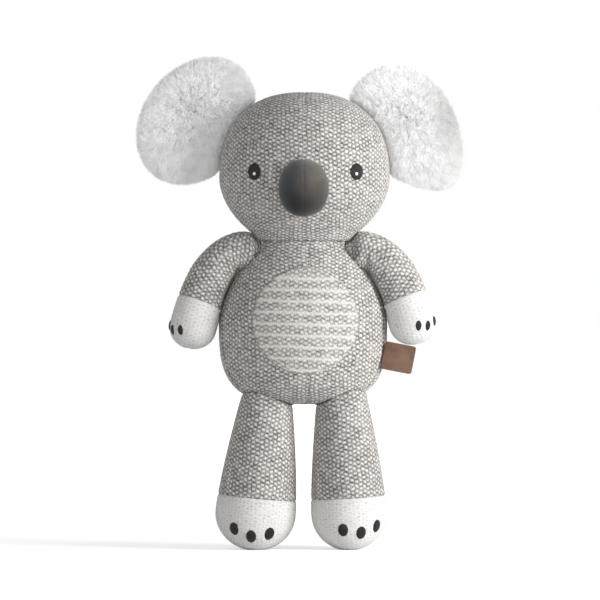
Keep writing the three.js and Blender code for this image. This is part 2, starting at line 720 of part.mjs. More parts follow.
// The tag: a leather oblong with rounded outer corners that stands out of the side seam and droops a little.
function addTag() {
  const middleZ = bodyZ - tagBelowBody;
  const seamX = bodyHalfWidthAt(middleZ) * Math.sqrt(1 - (bodySideSeamForward / bodyHalfDepth) ** 2);
  const root = new THREE.Vector3(seamX, bodySeamY, middleZ);
  const tilt = -THREE.MathUtils.degToRad(tagTilt);
  const outward = toLeft.clone().applyAxisAngle(forward, tilt);
  const along = upward.clone().applyAxisAngle(forward, tilt);
  const group = pivotGroup("tag_seam", root.clone().addScaledVector(outward, tagHingeLift), along);
  const [inner, outer, half] = [-tagHeight / 2, tagLength, tagHeight / 2];
  const outline = new THREE.Shape();
  outline.moveTo(inner, -half);
  outline.lineTo(outer - tagCorner, -half);
  outline.quadraticCurveTo(outer, -half, outer, tagCorner - half);
  outline.lineTo(outer, half - tagCorner);
  outline.quadraticCurveTo(outer, half, outer - tagCorner, half);
  outline.lineTo(inner, half);
  const slab = new THREE.ExtrudeGeometry(outline, { depth: tagThickness, bevelEnabled: false, curveSegments: 3 });
  slab.translate(0, 0, -tagThickness / 2).applyMatrix4(new THREE.Matrix4().makeBasis(outward, along, forward));
  const leaf = solidOf(slab.translate(root.x, root.y, root.z));
  const turns = [-tagSwing, -tagSwing / 2, 0, tagSwing / 2, tagSwing];
  const cleared = clearedInTurning(leaf, bodyEgg(seamGap), group.position, along, turns);
  add(group, "side_tag", cleared, materials.leather);
}

addBody();
addHead();
addTag();
for (const side of sides) {
  addEar(side);
  addArm(side);
  addLeg(side);
}
koala.position.x = bodyOffset;

export default koala;
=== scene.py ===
"""A plush koala: seed-stitch knitted covers, white plush ears, a velour nose, satin-stitch eyes, claws and toes,
a striped tummy patch and a leather side tag.

Formulas work in millimetres, and meshes are made in metres. The koala faces -Y, with its own left side at +X.
"""

from types import SimpleNamespace

import bpy
import numpy as np
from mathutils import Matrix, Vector


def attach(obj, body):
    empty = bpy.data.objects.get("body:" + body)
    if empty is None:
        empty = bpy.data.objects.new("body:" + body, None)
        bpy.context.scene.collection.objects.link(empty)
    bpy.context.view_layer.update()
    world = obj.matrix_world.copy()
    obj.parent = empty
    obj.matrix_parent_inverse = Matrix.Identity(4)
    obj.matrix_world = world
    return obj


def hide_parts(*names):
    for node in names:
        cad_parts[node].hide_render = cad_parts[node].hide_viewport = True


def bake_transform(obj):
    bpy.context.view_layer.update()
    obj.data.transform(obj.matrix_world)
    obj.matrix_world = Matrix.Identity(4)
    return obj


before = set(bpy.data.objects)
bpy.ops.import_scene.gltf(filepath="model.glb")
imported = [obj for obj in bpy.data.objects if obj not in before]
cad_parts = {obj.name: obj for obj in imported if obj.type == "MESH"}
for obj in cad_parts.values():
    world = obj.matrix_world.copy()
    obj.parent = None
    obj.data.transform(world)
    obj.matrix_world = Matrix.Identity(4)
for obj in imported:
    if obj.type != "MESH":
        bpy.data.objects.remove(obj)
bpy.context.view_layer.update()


# ---------------------------------------------------------------- studio
# A white paper sweep in a soft daylight studio: a key lamp from the toy's left, a broad fill from the front on its
# right, and a pale sky. The paper looks white to the camera and still takes the toy's shadow.
def linear(text):
    """An sRGB hex colour as linear red, green, blue and alpha."""
    share = np.array([int(text[i : i + 2], 16) for i in (1, 3, 5)]) / 255
    return (*np.where(share <= 0.04045, share / 12.92, ((share + 0.055) / 1.055) ** 2.4), 1.0)


def node(tree, kind, inputs=None, **settings):
    """Adds a shader node, sets its properties, and sets or links its inputs by name or number. A node that is given
    as an input stands for its first output."""
    made = tree.nodes.new("ShaderNode" + kind)
    for key, value in settings.items():
        setattr(made, key, value)
    for key, value in (inputs or {}).items():
        value = value.outputs[0] if isinstance(value, bpy.types.Node) else value
        if isinstance(value, bpy.types.NodeSocket):
            tree.links.new(value, made.inputs[key])
        else:
            made.inputs[key].default_value = value
    return made


def new_material(name):
    """A material with no nodes, and its node tree."""
    material = bpy.data.materials.new(name)
    material.use_nodes = True
    material.node_tree.nodes.clear()
    return material, material.node_tree


bpy.context.scene.view_settings.view_transform = "Standard"
camera_distance = 3.5
camera_target = (0.24, 179.6)
view_width = 432
camera = bpy.data.objects.new("camera", bpy.data.cameras.new("camera"))
camera.data.sensor_width = 36
camera.data.lens = camera.data.sensor_width * camera_distance * 1000 / view_width
camera.location = (camera_target[0] / 1000, -camera_distance, camera_target[1] / 1000)
camera.rotation_euler = (np.pi / 2, 0, 0)
camera.data.clip_end = 50
bpy.context.scene.collection.objects.link(camera)
bpy.context.scene.camera = camera


def soft_lamp(name, place, size, watts):
    """A square soft box that faces the toy's chest."""
    lamp = bpy.data.objects.new(name, bpy.data.lights.new(name, "AREA"))
    lamp.data.size = size
    lamp.data.energy = watts
    lamp.location = place
    towards = Vector((0, 0, 0.18)) - Vector(place)
    lamp.rotation_euler = towards.to_track_quat("-Z", "Y").to_euler()
    bpy.context.scene.collection.objects.link(lamp)


soft_lamp("key_lamp", (1.05, -0.55, 0.38), 0.65, 19)
soft_lamp("fill_lamp", (-0.8, -2.3, 0.35), 1.6, 19)

world = bpy.data.worlds.new("white_studio")
bpy.context.scene.world = world
world.use_nodes = True
tree = world.node_tree
tree.nodes.clear()
path = node(tree, "LightPath")
seen = node(tree, "Math", {0: path.outputs["Is Camera Ray"], 1: path.outputs["Is Glossy Ray"]}, operation="MAXIMUM")
seen = node(tree, "Math", {0: seen, 1: path.outputs["Is Transmission Ray"]}, operation="MAXIMUM")
strength = node(tree, "MapRange", {"Value": seen, "To Min": 0.37, "To Max": 1.0})
sky = node(tree, "Background", {"Color": (1, 1, 1, 1), "Strength": strength})
node(tree, "OutputWorld", {"Surface": sky})

# Matt white paper, which glows to the camera alone, and more so further from the toy.
paper, tree = new_material("white_paper_sweep")
path = node(tree, "LightPath")
seen = node(tree, "Math", {0: path.outputs["Is Camera Ray"], 1: path.outputs["Is Glossy Ray"]}, operation="MAXIMUM")
place = node(tree, "TexCoord")
away = node(tree, "VectorMath", {0: place.outputs["Object"]}, operation="LENGTH")
far = {"Value": away.outputs["Value"], "From Min": 0.15, "From Max": 1.6, "To Min": 0.5, "To Max": 0.95}
glow = node(tree, "Math", {0: seen, 1: node(tree, "MapRange", far)}, operation="MULTIPLY")
lit = node(tree, "BsdfDiffuse", {"Color": linear("#f4f4f4")})
both = node(tree, "AddShader", {0: lit, 1: node(tree, "Emission", {"Strength": glow})})
node(tree, "OutputMaterial", {"Surface": both})

floor_mesh = bpy.data.meshes.new("paper_floor")
floor_mesh.from_pydata([(-6, -6, 0), (6, -6, 0), (6, 6, 0), (-6, 6, 0)], [], [(0, 1, 2, 3)])
floor_mesh.materials.append(paper)
floor = bpy.data.objects.new("paper_floor", floor_mesh)
bpy.context.scene.collection.objects.link(floor)


# ---------------------------------------------------------------- body
# The body is a stuffed egg of three knitted panels: two at the front that meet in a centre seam, and one back.
# It is machine-knitted in seed stitch from a warm grey yarn, with the seams turned in, and drawn in at the neck.
def grid_corners(rows, columns):
    """The four corners of each square of a grid of points, so that rows run down and columns run to the left side."""
    at = np.arange(rows * columns).reshape(rows, columns)
    return np.stack([at[:-1, :-1], at[1:, :-1], at[1:, 1:], at[:-1, 1:]], -1).reshape(-1, 4)


def surface(points, relief, tone, across, down, turned=False):
    """A grid of points with, for each, how far it is raised, its tone, and its place on the cloth. A turned grid
    runs the other way round, so that its faces point outwards."""
    return points, *np.broadcast_arrays(relief, tone, across, down, points[..., 0])[:4], turned


def make_piece(name, surfaces, material):
    """A smooth mesh from surfaces.

    Points of all the grids that coincide are merged, squares that shrink to a line are dropped, and each point then
    moves out along the surface's normal by its relief.
    """
    points = np.concatenate([grid.reshape(-1, 3) for grid, *_ in surfaces])
    relief, tone, across, down = (np.concatenate([s[i].ravel() for s in surfaces]) for i in range(1, 5))
    corners, start = [], 0
    for grid, *_, turned in surfaces:
        squares = grid_corners(*grid.shape[:2]) + start
        corners.append(squares[:, ::-1] if turned else squares)
        start += grid[..., 0].size
    corners = np.concatenate(corners)
    _, first, merged = np.unique(np.round(points, 2), axis=0, return_index=True, return_inverse=True)
    faces = merged.ravel()[corners]
    same = faces == np.roll(faces, -1, axis=1)
    whole = (same.sum(1) < 2) & (faces[:, 0] != faces[:, 2]) & (faces[:, 1] != faces[:, 3])
    used = ~same[whole]
    mesh = bpy.data.meshes.new(name)
    mesh.vertices.add(len(first))
    mesh.vertices.foreach_set("co", points[first].ravel() / 1000)
    mesh.loops.add(int(used.sum()))
    mesh.loops.foreach_set("vertex_index", faces[whole][used])
    mesh.polygons.add(len(used))
    mesh.polygons.foreach_set("loop_start", np.cumsum(used.sum(1)) - used.sum(1))
    mesh.update(calc_edges=True)
    stitches = np.stack([across, down], -1)[corners[whole][used]]
    mesh.uv_layers.new(name="stitches").data.foreach_set("uv", stitches.ravel())
    normals = np.zeros(len(first) * 3)
    mesh.vertex_normals.foreach_get("vector", normals)
    placed = points[first] + normals.reshape(-1, 3) * relief[first, None]
    placed[:, 2] = np.maximum(placed[:, 2], 0)
    mesh.vertices.foreach_set("co", placed.ravel() / 1000)
    mesh.attributes.new("tone", "FLOAT", "POINT").data.foreach_set("value", tone[first])
    mesh.polygons.foreach_set("use_smooth", np.ones(len(used), bool))
    mesh.validate()
    mesh.update()
    mesh.materials.append(material)
    piece = bpy.data.objects.new(name, mesh)
    bpy.context.scene.collection.objects.link(piece)
    return piece


wale, course = 3.1, 1.6
stitch_height = 0.52


def scatter(i, j):
    """An even spread of numbers from 0 to 1, one for each pair of whole numbers."""
    return np.abs(np.sin(i * 12.9898 + j * 78.233) * 43758.5453) % 1


def seed_stitch(across, down):
    """Seed stitch at places in millimetres, 0 in the gaps and 1 on the loops. The loops stand in columns a wale
    apart, each two courses high and a course out of step with the next column's, with a pit between each two and a
    groove between the columns. The columns sway, and no two loops are quite alike."""
    u = across / wale + 0.14 * np.sin(0.23 * down + 0.11 * across) + 0.1 * np.sin(0.31 * across - 1.1 * down)
    v = down / course + 0.3 * np.sin(0.19 * across + 0.5) + 0.2 * np.sin(1.1 * across + 0.4 * down)
    column = np.round(u)
    step = (v - column) / 2
    side, up = u - column, 2 * (step - np.round(step))
    rounded = ((0.5 + 0.5 * np.cos(np.pi * up)) * np.cos(np.pi * side)) ** 1.4
    loop = (0.56 + 0.46 * rounded) * (0.8 + 0.28 * scatter(column, np.round(step)))
    groove = np.exp(-(((0.5 - np.abs(side)) / 0.15) ** 2)) * (0.15 + scatter(np.floor(u) + 7, np.round(v)))
    pit = np.exp(-((side / 0.25) ** 2) - ((1 - np.abs(up)) / 0.34) ** 2) * (0.3 + scatter(column + 31, np.floor(step)))
    return np.clip(loop - 0.36 * groove - 0.62 * pit, 0, 1)


def dotted_stitch(across, down):
    """A closer stitch at places in millimetres: 1 all over, and less in small pits that stand in rows and columns."""
    u = across / wale + 0.1 * np.sin(0.25 * down + 0.2 * across)
    v = down / 2.1 + 0.2 * np.sin(0.3 * across) + 0.1 * np.sin(0.7 * down)
    i, j = np.round(u), np.round(v)
    pit = np.exp(-(((u - i) / 0.19) ** 2) - ((v - j) / 0.28) ** 2)
    return 0.62 + 0.36 * seed_stitch(across, down) - 0.7 * pit * (0.35 + 0.65 * scatter(i, j))


def knit_sheet(points, across, down, seam_away, stitch=seed_stitch, turned=False):
    """A grid of points as knitted cloth. across and down are distances over its wales and courses, and seam_away is
    the distance from the nearest seam, where the cloth is pulled in and its stitches close up."""
    height = stitch(across, down)
    flat = 0.8 * np.exp(-((seam_away / 0.9) ** 2))
    pull = 0.9 * np.exp(-((seam_away / 1.3) ** 2))
    relief = (height - 0.45) * stitch_height * (1 - flat) - pull
    # painted shade: the tone is low in the gaps of the stitch, and lower still where a seam pulls the cloth in
    return surface(points, relief, height * (1 - 0.6 * flat), across / wale, down / course, turned)


def round_lengths(aspect):
    """Angles round an oval of half width 1 and half depth aspect, and the distance from its front to each."""
    angle = np.linspace(-2 * np.pi, 2 * np.pi, 2881)
    step = np.hypot(np.cos(angle), aspect * np.sin(angle))
    length = np.concatenate([[0], np.cumsum((step[1:] + step[:-1]) / 2 * np.diff(angle))])
    return angle, length - length[1440]


def egg_profile(width, reach, roundness, aspect, top=None, bottom=None):
    """Down an egg's side: the distance along the cloth, the height and the half width. The outline is a
    superellipse, with one reach and roundness above its middle and another below. It may be cut level at the top or
    the bottom, and is then closed by a flat end."""
    angle = np.linspace(np.pi / 2, -np.pi / 2, 2401)
    roundness = np.where(angle > 0, *roundness)
    height = np.where(angle > 0, *reach) * np.sign(angle) * np.abs(np.sin(angle)) ** (2 / roundness)
    half = width * np.abs(np.cos(angle)) ** (2 / roundness)
    if top is not None:
        edge = np.interp(-top, -height, half)
        kept = height < top
        height = np.concatenate([[top, top], height[kept]])
        half = np.concatenate([[0, edge], half[kept]])
    if bottom is not None:
        edge = np.interp(-bottom, -height, half)
        kept = height > bottom
        height = np.concatenate([height[kept], [bottom, bottom]])
        half = np.concatenate([half[kept], [edge, 0]])
    step = np.hypot(np.diff(height), np.diff(half) * (1 + aspect) / 2)
    return np.concatenate([[0], np.cumsum(step)]), height, half


def knit_rows(length):
    """Evenly spaced rows, three to a course."""
    return np.linspace(0, length, int(round(length / course * 3)) + 1)


def knit_columns(half, low, high, origin, aspect):
    """The angles round a form at which its wales stand, six columns to a wale, for rows of a given half width.
    They are counted along the cloth from the angle origin and kept between the angles low and high, where they
    meet. Also each column's distance along the cloth from the origin, and from the nearer of the two ends."""
    angles, arcs = round_lengths(aspect)
    start = np.interp(origin, angles, arcs)
    ends = np.interp(low, angles, arcs), np.interp(high, angles, arcs)
    count = int(np.ceil(np.max(half * np.maximum(ends[1] - start, start - ends[0])) / wale * 6))
    arc = start + np.arange(-count, count + 1)[None, :] * wale / 6 / np.maximum(half, 1e-3)
    arc = np.clip(arc, *ends)
    return np.interp(arc, arcs, angles), half * (arc - start), half * (arc - ends[0]), half * (ends[1] - arc)


def egg_panel(profile, aspect, depth, low, high, origin, seams):
    """One panel of an egg-shaped cover, between two angles in each row, and its distances over the wales, over the
    courses and from the nearest seam. depth gives the aspect at each height, and seams adds to the distance from
    each end: 0 for a tight seam, 1 for a faint one."""
    lengths, heights, halves = profile
    down = knit_rows(lengths[-1])[:, None]
    half = np.interp(down, lengths, halves)
    height = np.interp(down, lengths, heights)
    angle, across, *away = knit_columns(half, low(half), high(half), origin(half), aspect)
    away = np.minimum(away[0] + seams[0], away[1] + seams[1])
    x, y = half * np.sin(angle), -half * depth(height) * np.cos(angle)
    return np.stack(np.broadcast_arrays(x, y, height), -1), across, down, away


def three_panels(profile, aspect, depth, front, side, faint):
    """An egg-shaped cover in three panels: front right, front left and back. front and side give the angles of the
    front seam and of the left side seam for each half width, and faint is how faint the front seam is."""
    panels = (
        (lambda half: -side(half), front, front, (0, faint)),
        (front, side, front, (faint, 0)),
        (side, lambda half: 2 * np.pi - side(half), lambda half: np.pi + 0 * half, (0, 0)),
    )
    return [egg_panel(profile, aspect, depth, *panel) for panel in panels]


def knitted_cotton(name, light, middle, deep):
    """Brushed cotton yarn, knitted by machine: matt, with fine loose fibres and a twist across each strand. Its colour
    runs from deep to light as the tone rises, which paints shade into the gaps between loops."""
    material, tree = new_material(name)
    height = node(tree, "Attribute", attribute_name="tone")
    # painted shade: the deep colour goes in the gaps between loops and in the seams, the light one on the tops of the
    # loops
    gap_shade_ramp = node(tree, "ValToRGB", {0: height.outputs["Fac"]})
    gap_shade_ramp.color_ramp.elements[0].position = 0.08
    gap_shade_ramp.color_ramp.elements[0].color = linear(deep)
    gap_shade_ramp.color_ramp.elements[1].position = 0.95
    gap_shade_ramp.color_ramp.elements[1].color = linear(light)
    gap_shade_ramp.color_ramp.elements.new(0.5).color = linear(middle)
    # plies 0.43 mm apart, which run aslant across each strand
    stitches = node(tree, "UVMap", uv_map="stitches")
    twist = node(tree, "Mapping", {"Vector": stitches, "Rotation": (0, 0, 0.6), "Scale": (4.5, 2.4, 1)})
    plies = node(tree, "TexWave", {"Vector": twist, "Scale": 0.5, "Distortion": 2.0, "Detail": 1.0})
    # loose fibres in tufts of about 1 mm, and patches of about 35 mm where the yarn takes the dye unevenly
    place = node(tree, "TexCoord").outputs["Object"]
    fibre = node(tree, "TexNoise", {"Vector": place, "Scale": 900.0, "Detail": 3.0})
    patchy = node(tree, "TexNoise", {"Vector": place, "Scale": 28.0, "Detail": 2.0})
    shade = {"Value": fibre, "From Min": 0.3, "From Max": 0.7, "To Min": 0.9, "To Max": 1.06}
    tint = {"Value": patchy, "From Min": 0.3, "From Max": 0.7, "To Min": 0.96, "To Max": 1.03}
    both = {0: node(tree, "MapRange", shade), 1: node(tree, "MapRange", tint)}
    both = node(tree, "Math", both, operation="MULTIPLY")
    colour = node(tree, "VectorMath", {0: gap_shade_ramp, "Scale": both}, operation="SCALE")
    rough = node(tree, "Bump", {"Strength": 0.35, "Distance": 0.0004, "Height": fibre})
    twisted = {"Strength": 0.3, "Distance": 0.0005, "Height": plies.outputs["Fac"], "Normal": rough}
    finish = {"Roughness": 0.95, "Sheen Weight": 0.25, "Sheen Roughness": 0.6, "Specular IOR Level": 0.2}
    cloth = {"Base Color": colour, "Normal": node(tree, "Bump", twisted), **finish}
    node(tree, "OutputMaterial", {"Surface": node(tree, "BsdfPrincipled", cloth)})
    return material


grey_knit = knitted_cotton("grey_seed_stitch", "#dcd9d5", "#9b9793", "#3b3735")
body_middle = np.array([2.4, 8.587, 164.6])
body_width, body_half_depth = 60.6, 46
body_aspect = body_half_depth / body_width
body_reach, body_roundness = (71.1, 60.0), (1.58, 3.2)
neck_z, neck_lift, neck_aspect = 221.978, 57.378, 0.80
front_seam_offset, side_seam_forward = 3.6, 13


def body_half_width(height):
    """The body's half width at a height above its middle: a superellipse, squarer below the middle than above."""
    reach, roundness = np.where(height > 0, *body_reach), np.where(height > 0, *body_roundness)
    return body_width * (1 - np.clip(np.abs(height) / reach, 0, 1) ** roundness) ** (1 / roundness)


def body_depth(height):
    """The body's aspect, which becomes the neck's own near the neck."""
    return np.interp(height, [neck_lift - 26, neck_lift], [body_aspect, neck_aspect])


shoulder_out, shoulder_y, shoulder_z = 44.367, 5.587, 214.578
arm_root, arm_root_squareness, dimple_gap = 14.4, 2.6, 1.0


def root_reach(away_from_axis, grow):
    """How far the rounded root of an arm reaches inwards from its shoulder, at some distance from the shoulders'
    line: a ball with flatter sides, so that the arm still swings freely in its dimple."""
    share = np.minimum(away_from_axis / (arm_root + grow), 1) ** arm_root_squareness
    return (arm_root + grow) * (1 - share) ** (1 / arm_root_squareness)


def shoulder_dimples(points):
    """Presses the body's surface in round the root of each arm."""
    points = points.copy()
    x = points[..., 0] - body_middle[0]
    axis_away = np.hypot(points[..., 1] - shoulder_y, points[..., 2] - shoulder_z)
    floor = shoulder_out - root_reach(axis_away, dimple_gap)
    pressed = (axis_away < arm_root + dimple_gap) & (np.abs(x) > floor)
    points[..., 0] = body_middle[0] + np.where(pressed, np.sign(x) * floor, x)
    return points


body_profile = egg_profile(body_width, body_reach, body_roundness, body_aspect, top=neck_lift)
neck_roll, neck_roll_height = 4, 3
body_profile[2][1:] += neck_roll * np.exp(-(((body_profile[1][1:] - neck_lift) / neck_roll_height) ** 2))


def front_of_body(half):
    """The angle of the front seam, which runs a little to the left of the body's middle."""
    return np.arcsin(np.clip(front_seam_offset / np.maximum(half, 1e-3), -1, 1))


def side_of_body(half):
    """The angle of the left side seam, which runs a little in front of the body's middle."""
    side = np.arccos(np.clip(side_seam_forward / np.maximum(half * body_aspect, 1e-3), -1, 1))
    return np.maximum(side, front_of_body(half))


body_panels = three_panels(body_profile, body_aspect, body_depth, front_of_body, side_of_body, faint=0.9)
body_sheets = [knit_sheet(shoulder_dimples(points + body_middle), *places) for points, *places in body_panels]
body = make_piece("body_cover", body_sheets, grey_knit)
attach(body, "torso")
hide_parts("body_front_right", "body_front_left", "body_back", "body_stuffing")


# ---------------------------------------------------------------- head
# The head is a stuffed ball of the same knit, flatter on top, in two front panels and a back. It is sewn to the
# body at the neck, where it is drawn in to the neck's oval.
head_middle = np.array([3.5, 8.587, 267.353])
head_width = 61.4
head_aspect = 56 / head_width
head_reach, head_roundness = (62, 52.7), (2.4, 1.81)
neck_gap = 0.3
head_neck_drop = neck_z + neck_gap - head_middle[2]
head_profile = egg_profile(head_width, head_reach, head_roundness, head_aspect, bottom=head_neck_drop)
chin_roll, chin_roll_height = 4.5, 4
head_profile[2][1:-1] += chin_roll * np.exp(-(((head_profile[1][1:-1] - head_neck_drop) / chin_roll_height) ** 2))
side_seam_back = 2


def head_depth(height):
    """The head's aspect, which becomes the neck's own towards the neck."""
    return np.interp(height, [head_neck_drop, head_neck_drop + 28], [neck_aspect, head_aspect])


def side_of_head(half):
    """The angle of the left side seam, which runs a little behind the head's middle."""
    return np.arccos(np.clip(-side_seam_back / np.maximum(half * head_aspect, 1e-3), -1, 1))


head_panels = three_panels(head_profile, head_aspect, head_depth, lambda half: 0 * half, side_of_head, faint=1.2)
head_sheets = [knit_sheet(points + head_middle, *places) for points, *places in head_panels]
head = make_piece("head_cover", head_sheets, grey_knit)
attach(head, "head")
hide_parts("head_front_right", "head_front_left", "head_back", "head_stuffing")


# ---------------------------------------------------------------- nose
# The nose is a stuffed egg of short grey velour, in two panels that meet in an upright seam, and sewn to the face.
# The panel on the toy's right, away from the key lamp, is painted darker and cooler as painted shade.
nose_middle = np.array([2.8, -43.59, 259.3])
nose_half_width, nose_half_height, nose_half_depth = 17.9, 20.6, 21
nose_roundness = 2.15


def short_velour(name, dark, light, seam_x):
    """Short-pile velour: matt and dark face on, with a pale bloom where it turns away, and fine flecks of pile."""
    material, tree = new_material(name)
    place = node(tree, "TexCoord").outputs["Object"]
    split = node(tree, "SeparateXYZ", {0: place})
    # painted shade: the panel on the toy's right takes the dark colour, and the one on its left, towards the key lamp,
    # the light one
    side = {"Value": split.outputs["X"], "From Min": seam_x - 0.006, "From Max": seam_x + 0.006}
    shaded_and_lit_panels = {"Factor": node(tree, "MapRange", side), "A": linear(dark), "B": linear(light)}
    panel = node(tree, "Mix", shaded_and_lit_panels, data_type="RGBA")
    # pile in tufts of 0.45 mm, and strokes 8 mm wide where a hand has brushed it
    pile = node(tree, "TexNoise", {"Vector": place, "Scale": 2200.0, "Detail": 2.0})
    strokes = node(tree, "TexNoise", {"Vector": place, "Scale": 120.0, "Detail": 2.0})
    fleck = {"Value": pile, "From Min": 0.3, "From Max": 0.7, "To Min": 0.75, "To Max": 1.2}
    stroke = {"Value": strokes, "From Min": 0.3, "From Max": 0.7, "To Min": 0.88, "To Max": 1.12}
    both = {0: node(tree, "MapRange", fleck), 1: node(tree, "MapRange", stroke)}
    both = node(tree, "Math", both, operation="MULTIPLY")
    # painted light: the colour pales towards the top, where the lamps fall, and darkens towards the bottom
    painted_top_light = {"Value": split.outputs["Z"], "From Min": 0.242, "From Max": 0.279, "To Min": 0.45, "To Max": 4.2}
    both = node(tree, "Math", {0: both, 1: node(tree, "MapRange", painted_top_light)}, operation="MULTIPLY")
    colour = node(tree, "VectorMath", {0: panel.outputs["Result"], "Scale": both}, operation="SCALE")
    bump = node(tree, "Bump", {"Strength": 0.5, "Distance": 0.0003, "Height": pile})
    finish = {"Roughness": 0.9, "Sheen Weight": 0.22, "Sheen Roughness": 0.5, "Specular IOR Level": 0.1}
    cloth = node(tree, "BsdfPrincipled", {"Base Color": colour, "Normal": bump, **finish})
    node(tree, "OutputMaterial", {"Surface": cloth})
    return material


def nose_sheet():
    """The whole egg, a superellipse turned round an upright line and made deeper, with its seam drawn in."""
    reach, roundness = (nose_half_height, nose_half_height), (nose_roundness, nose_roundness)
    lengths, heights, halves = egg_profile(nose_half_width, reach, roundness, aspect=1.15)
    down = np.linspace(0, lengths[-1], 90)[:, None]
    half, height = np.interp(down, lengths, halves), np.interp(down, lengths, heights)
    angle = np.linspace(-np.pi, np.pi, 181)[None, :]
    x, y = half * np.sin(angle), -half * nose_half_depth / nose_half_width * np.cos(angle)
    seam = np.exp(-((x / 0.5) ** 2))
    points = np.stack(np.broadcast_arrays(x, y, height), -1) + nose_middle
    return surface(points, -0.2 * seam, 1 - 0.6 * seam, half * angle, down)


nose = make_piece("nose_cover", [nose_sheet()], short_velour("short_grey_velour", "#292a2b", "#302d2a", 0.0028))
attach(nose, "head")
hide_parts("nose_right", "nose_left", "nose_stuffing")


# ---------------------------------------------------------------- eyes
# Each eye is an oval of dark satin stitch embroidered through the face, with a small round highlight in white
# thread on top of it.
def satin_thread(name, colour, crest_highlight):
    """Rayon embroidery thread: parallel strands with a soft gloss, each strand a little rounded."""
    material, tree = new_material(name)
    # strands 0.45 mm apart, along the long way of the oval
    place = node(tree, "UVMap", uv_map="stitches")
    wave = {"Vector": place, "Scale": 0.7, "Distortion": 0.6, "Detail": 1.0, "Detail Scale": 2.0}
    strands = node(tree, "TexWave", wave).outputs["Fac"]
    # painted highlight: each strand is painted paler along its raised crest
    shade = node(tree, "Mix", {"Factor": strands, "A": linear(colour), "B": linear(crest_highlight)}, data_type="RGBA")
    bump = node(tree, "Bump", {"Strength": 0.6, "Distance": 0.0002, "Height": strands})
    finish = {"Roughness": 0.5, "Specular IOR Level": 0.2}
    thread = node(tree, "BsdfPrincipled", {"Base Color": shade.outputs["Result"], "Normal": bump, **finish})
    node(tree, "OutputMaterial", {"Surface": thread})
    return material


def out_of_head(points):
    """How far out of the head points lie, as the sum of a superellipse: under 1 inside, 1 on its surface."""
    offset = points - head_middle
    across = np.hypot(offset[..., 0] / head_width, offset[..., 1] / (head_width * head_depth(offset[..., 2])))
    up = offset[..., 2] > 0
    roundness = np.where(up, *head_roundness)
    return across**roundness + (np.abs(offset[..., 2]) / np.where(up, *head_reach)) ** roundness


def narrowed(low, high, inside, steps):
    """Halves the stretch from low, which is inside, to high a number of times, about the place where inside ends."""
    for _ in range(steps):
        middle = (low + high) / 2
        kept = inside(middle)
        low, high = np.where(kept, middle, low), np.where(kept, high, middle)
    return low, high


def embroidery(name, out_of, middle, degrees, oval, material):
    """A domed oval of satin stitch on a form, given by its half width, half height, and how far it is sunk and
    raised. out_of tells how far out a point lies, 1 on the form's surface. The oval faces out from the form's middle,
    turned by some degrees to the left of straight ahead."""
    half_width, half_height, sunk, raised = oval
    face_rings, back_rings = 14, 4
    turn = np.radians(degrees)
    out, side = np.array([np.sin(turn), -np.cos(turn), 0]), np.array([np.cos(turn), np.sin(turn), 0])
    ring = np.concatenate([np.linspace(0, 1, face_rings), np.linspace(0.9, 0, back_rings)])[:, None]
    angle = np.linspace(0, 2 * np.pi, 49)[None, :]
    x, z = half_width * ring * np.sin(angle), -half_height * ring * np.cos(angle)
    start = np.asarray(middle) + x[..., None] * side + z[..., None] * np.array([0, 0, 1])
    inside = lambda reach: out_of(start + reach[..., None] * out) < 1
    reach, _ = narrowed(np.zeros(x.shape), np.full(x.shape, 80.0), inside, steps=24)
    face = (np.arange(len(ring)) < face_rings)[:, None]
    dome = raised * np.sqrt(np.maximum(1 - ring**3, 0))
    lift = np.where(face, dome, -sunk * (1 - ring)) - sunk * ring**6 * face
    points = start + (reach + lift)[..., None] * out
    return make_piece(name, [surface(points, 0.0, 1.0, x, z)], material)


dark_thread = satin_thread("charcoal_satin_thread", "#0f0e0f", "#242122")
white_thread = satin_thread("white_satin_thread", "#e8e6e2", "#ffffff")
eye_oval = 4.75, 6.3, 0.3, 1.5
highlight_oval = 1.05, 1.15, -1.2, 2.1
for side, out in (("right", -35.9), ("left", 37.1)):
    middle = head_middle + (out, 0, 3.7)
    eye = embroidery(side + "_eye_oval", out_of_head, middle, 0, eye_oval, dark_thread)
    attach(eye, "head")
    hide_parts(side + "_eye")
    place = middle - (0, 0, 1.5)
    highlight = embroidery(side + "_eye_highlight", out_of_head, place, 0, highlight_oval, white_thread)
    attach(highlight, "head")
    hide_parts(side + "_eye_glint")


# ---------------------------------------------------------------- tummy patch
# A round patch of cream and grey knit, in stripes: a raised cream ridge, then two rows of bumps with a greyer row
# between them. Its edge is turned under, and it is sewn on round the edge.
patch_middle = np.array([4.0, 164.8])
patch_radius = 38.2
stripe = 8.17


def patch_stitch(x, down):
    """The striped knit, x along the rows and down across them, from 0 in the pits to 1: seed stitch of five rows to
    a stripe, of which one is a raised ridge with shallow dents."""
    row = (down - 0.03 * x) / stripe * 5 + 0.14 * np.sin(0.13 * x + 0.5 * down)
    away = np.abs((row + 2.5) % 5 - 2.5)
    ridge = np.exp(-((away / 0.62) ** 2))
    dents = np.cos(2 * np.pi * x / wale)
    ground = 0.12 + 0.88 * seed_stitch(x, down)
    return np.clip(ground * (1 - 0.85 * ridge) + ridge * (0.79 - 0.09 * dents), 0, 1)


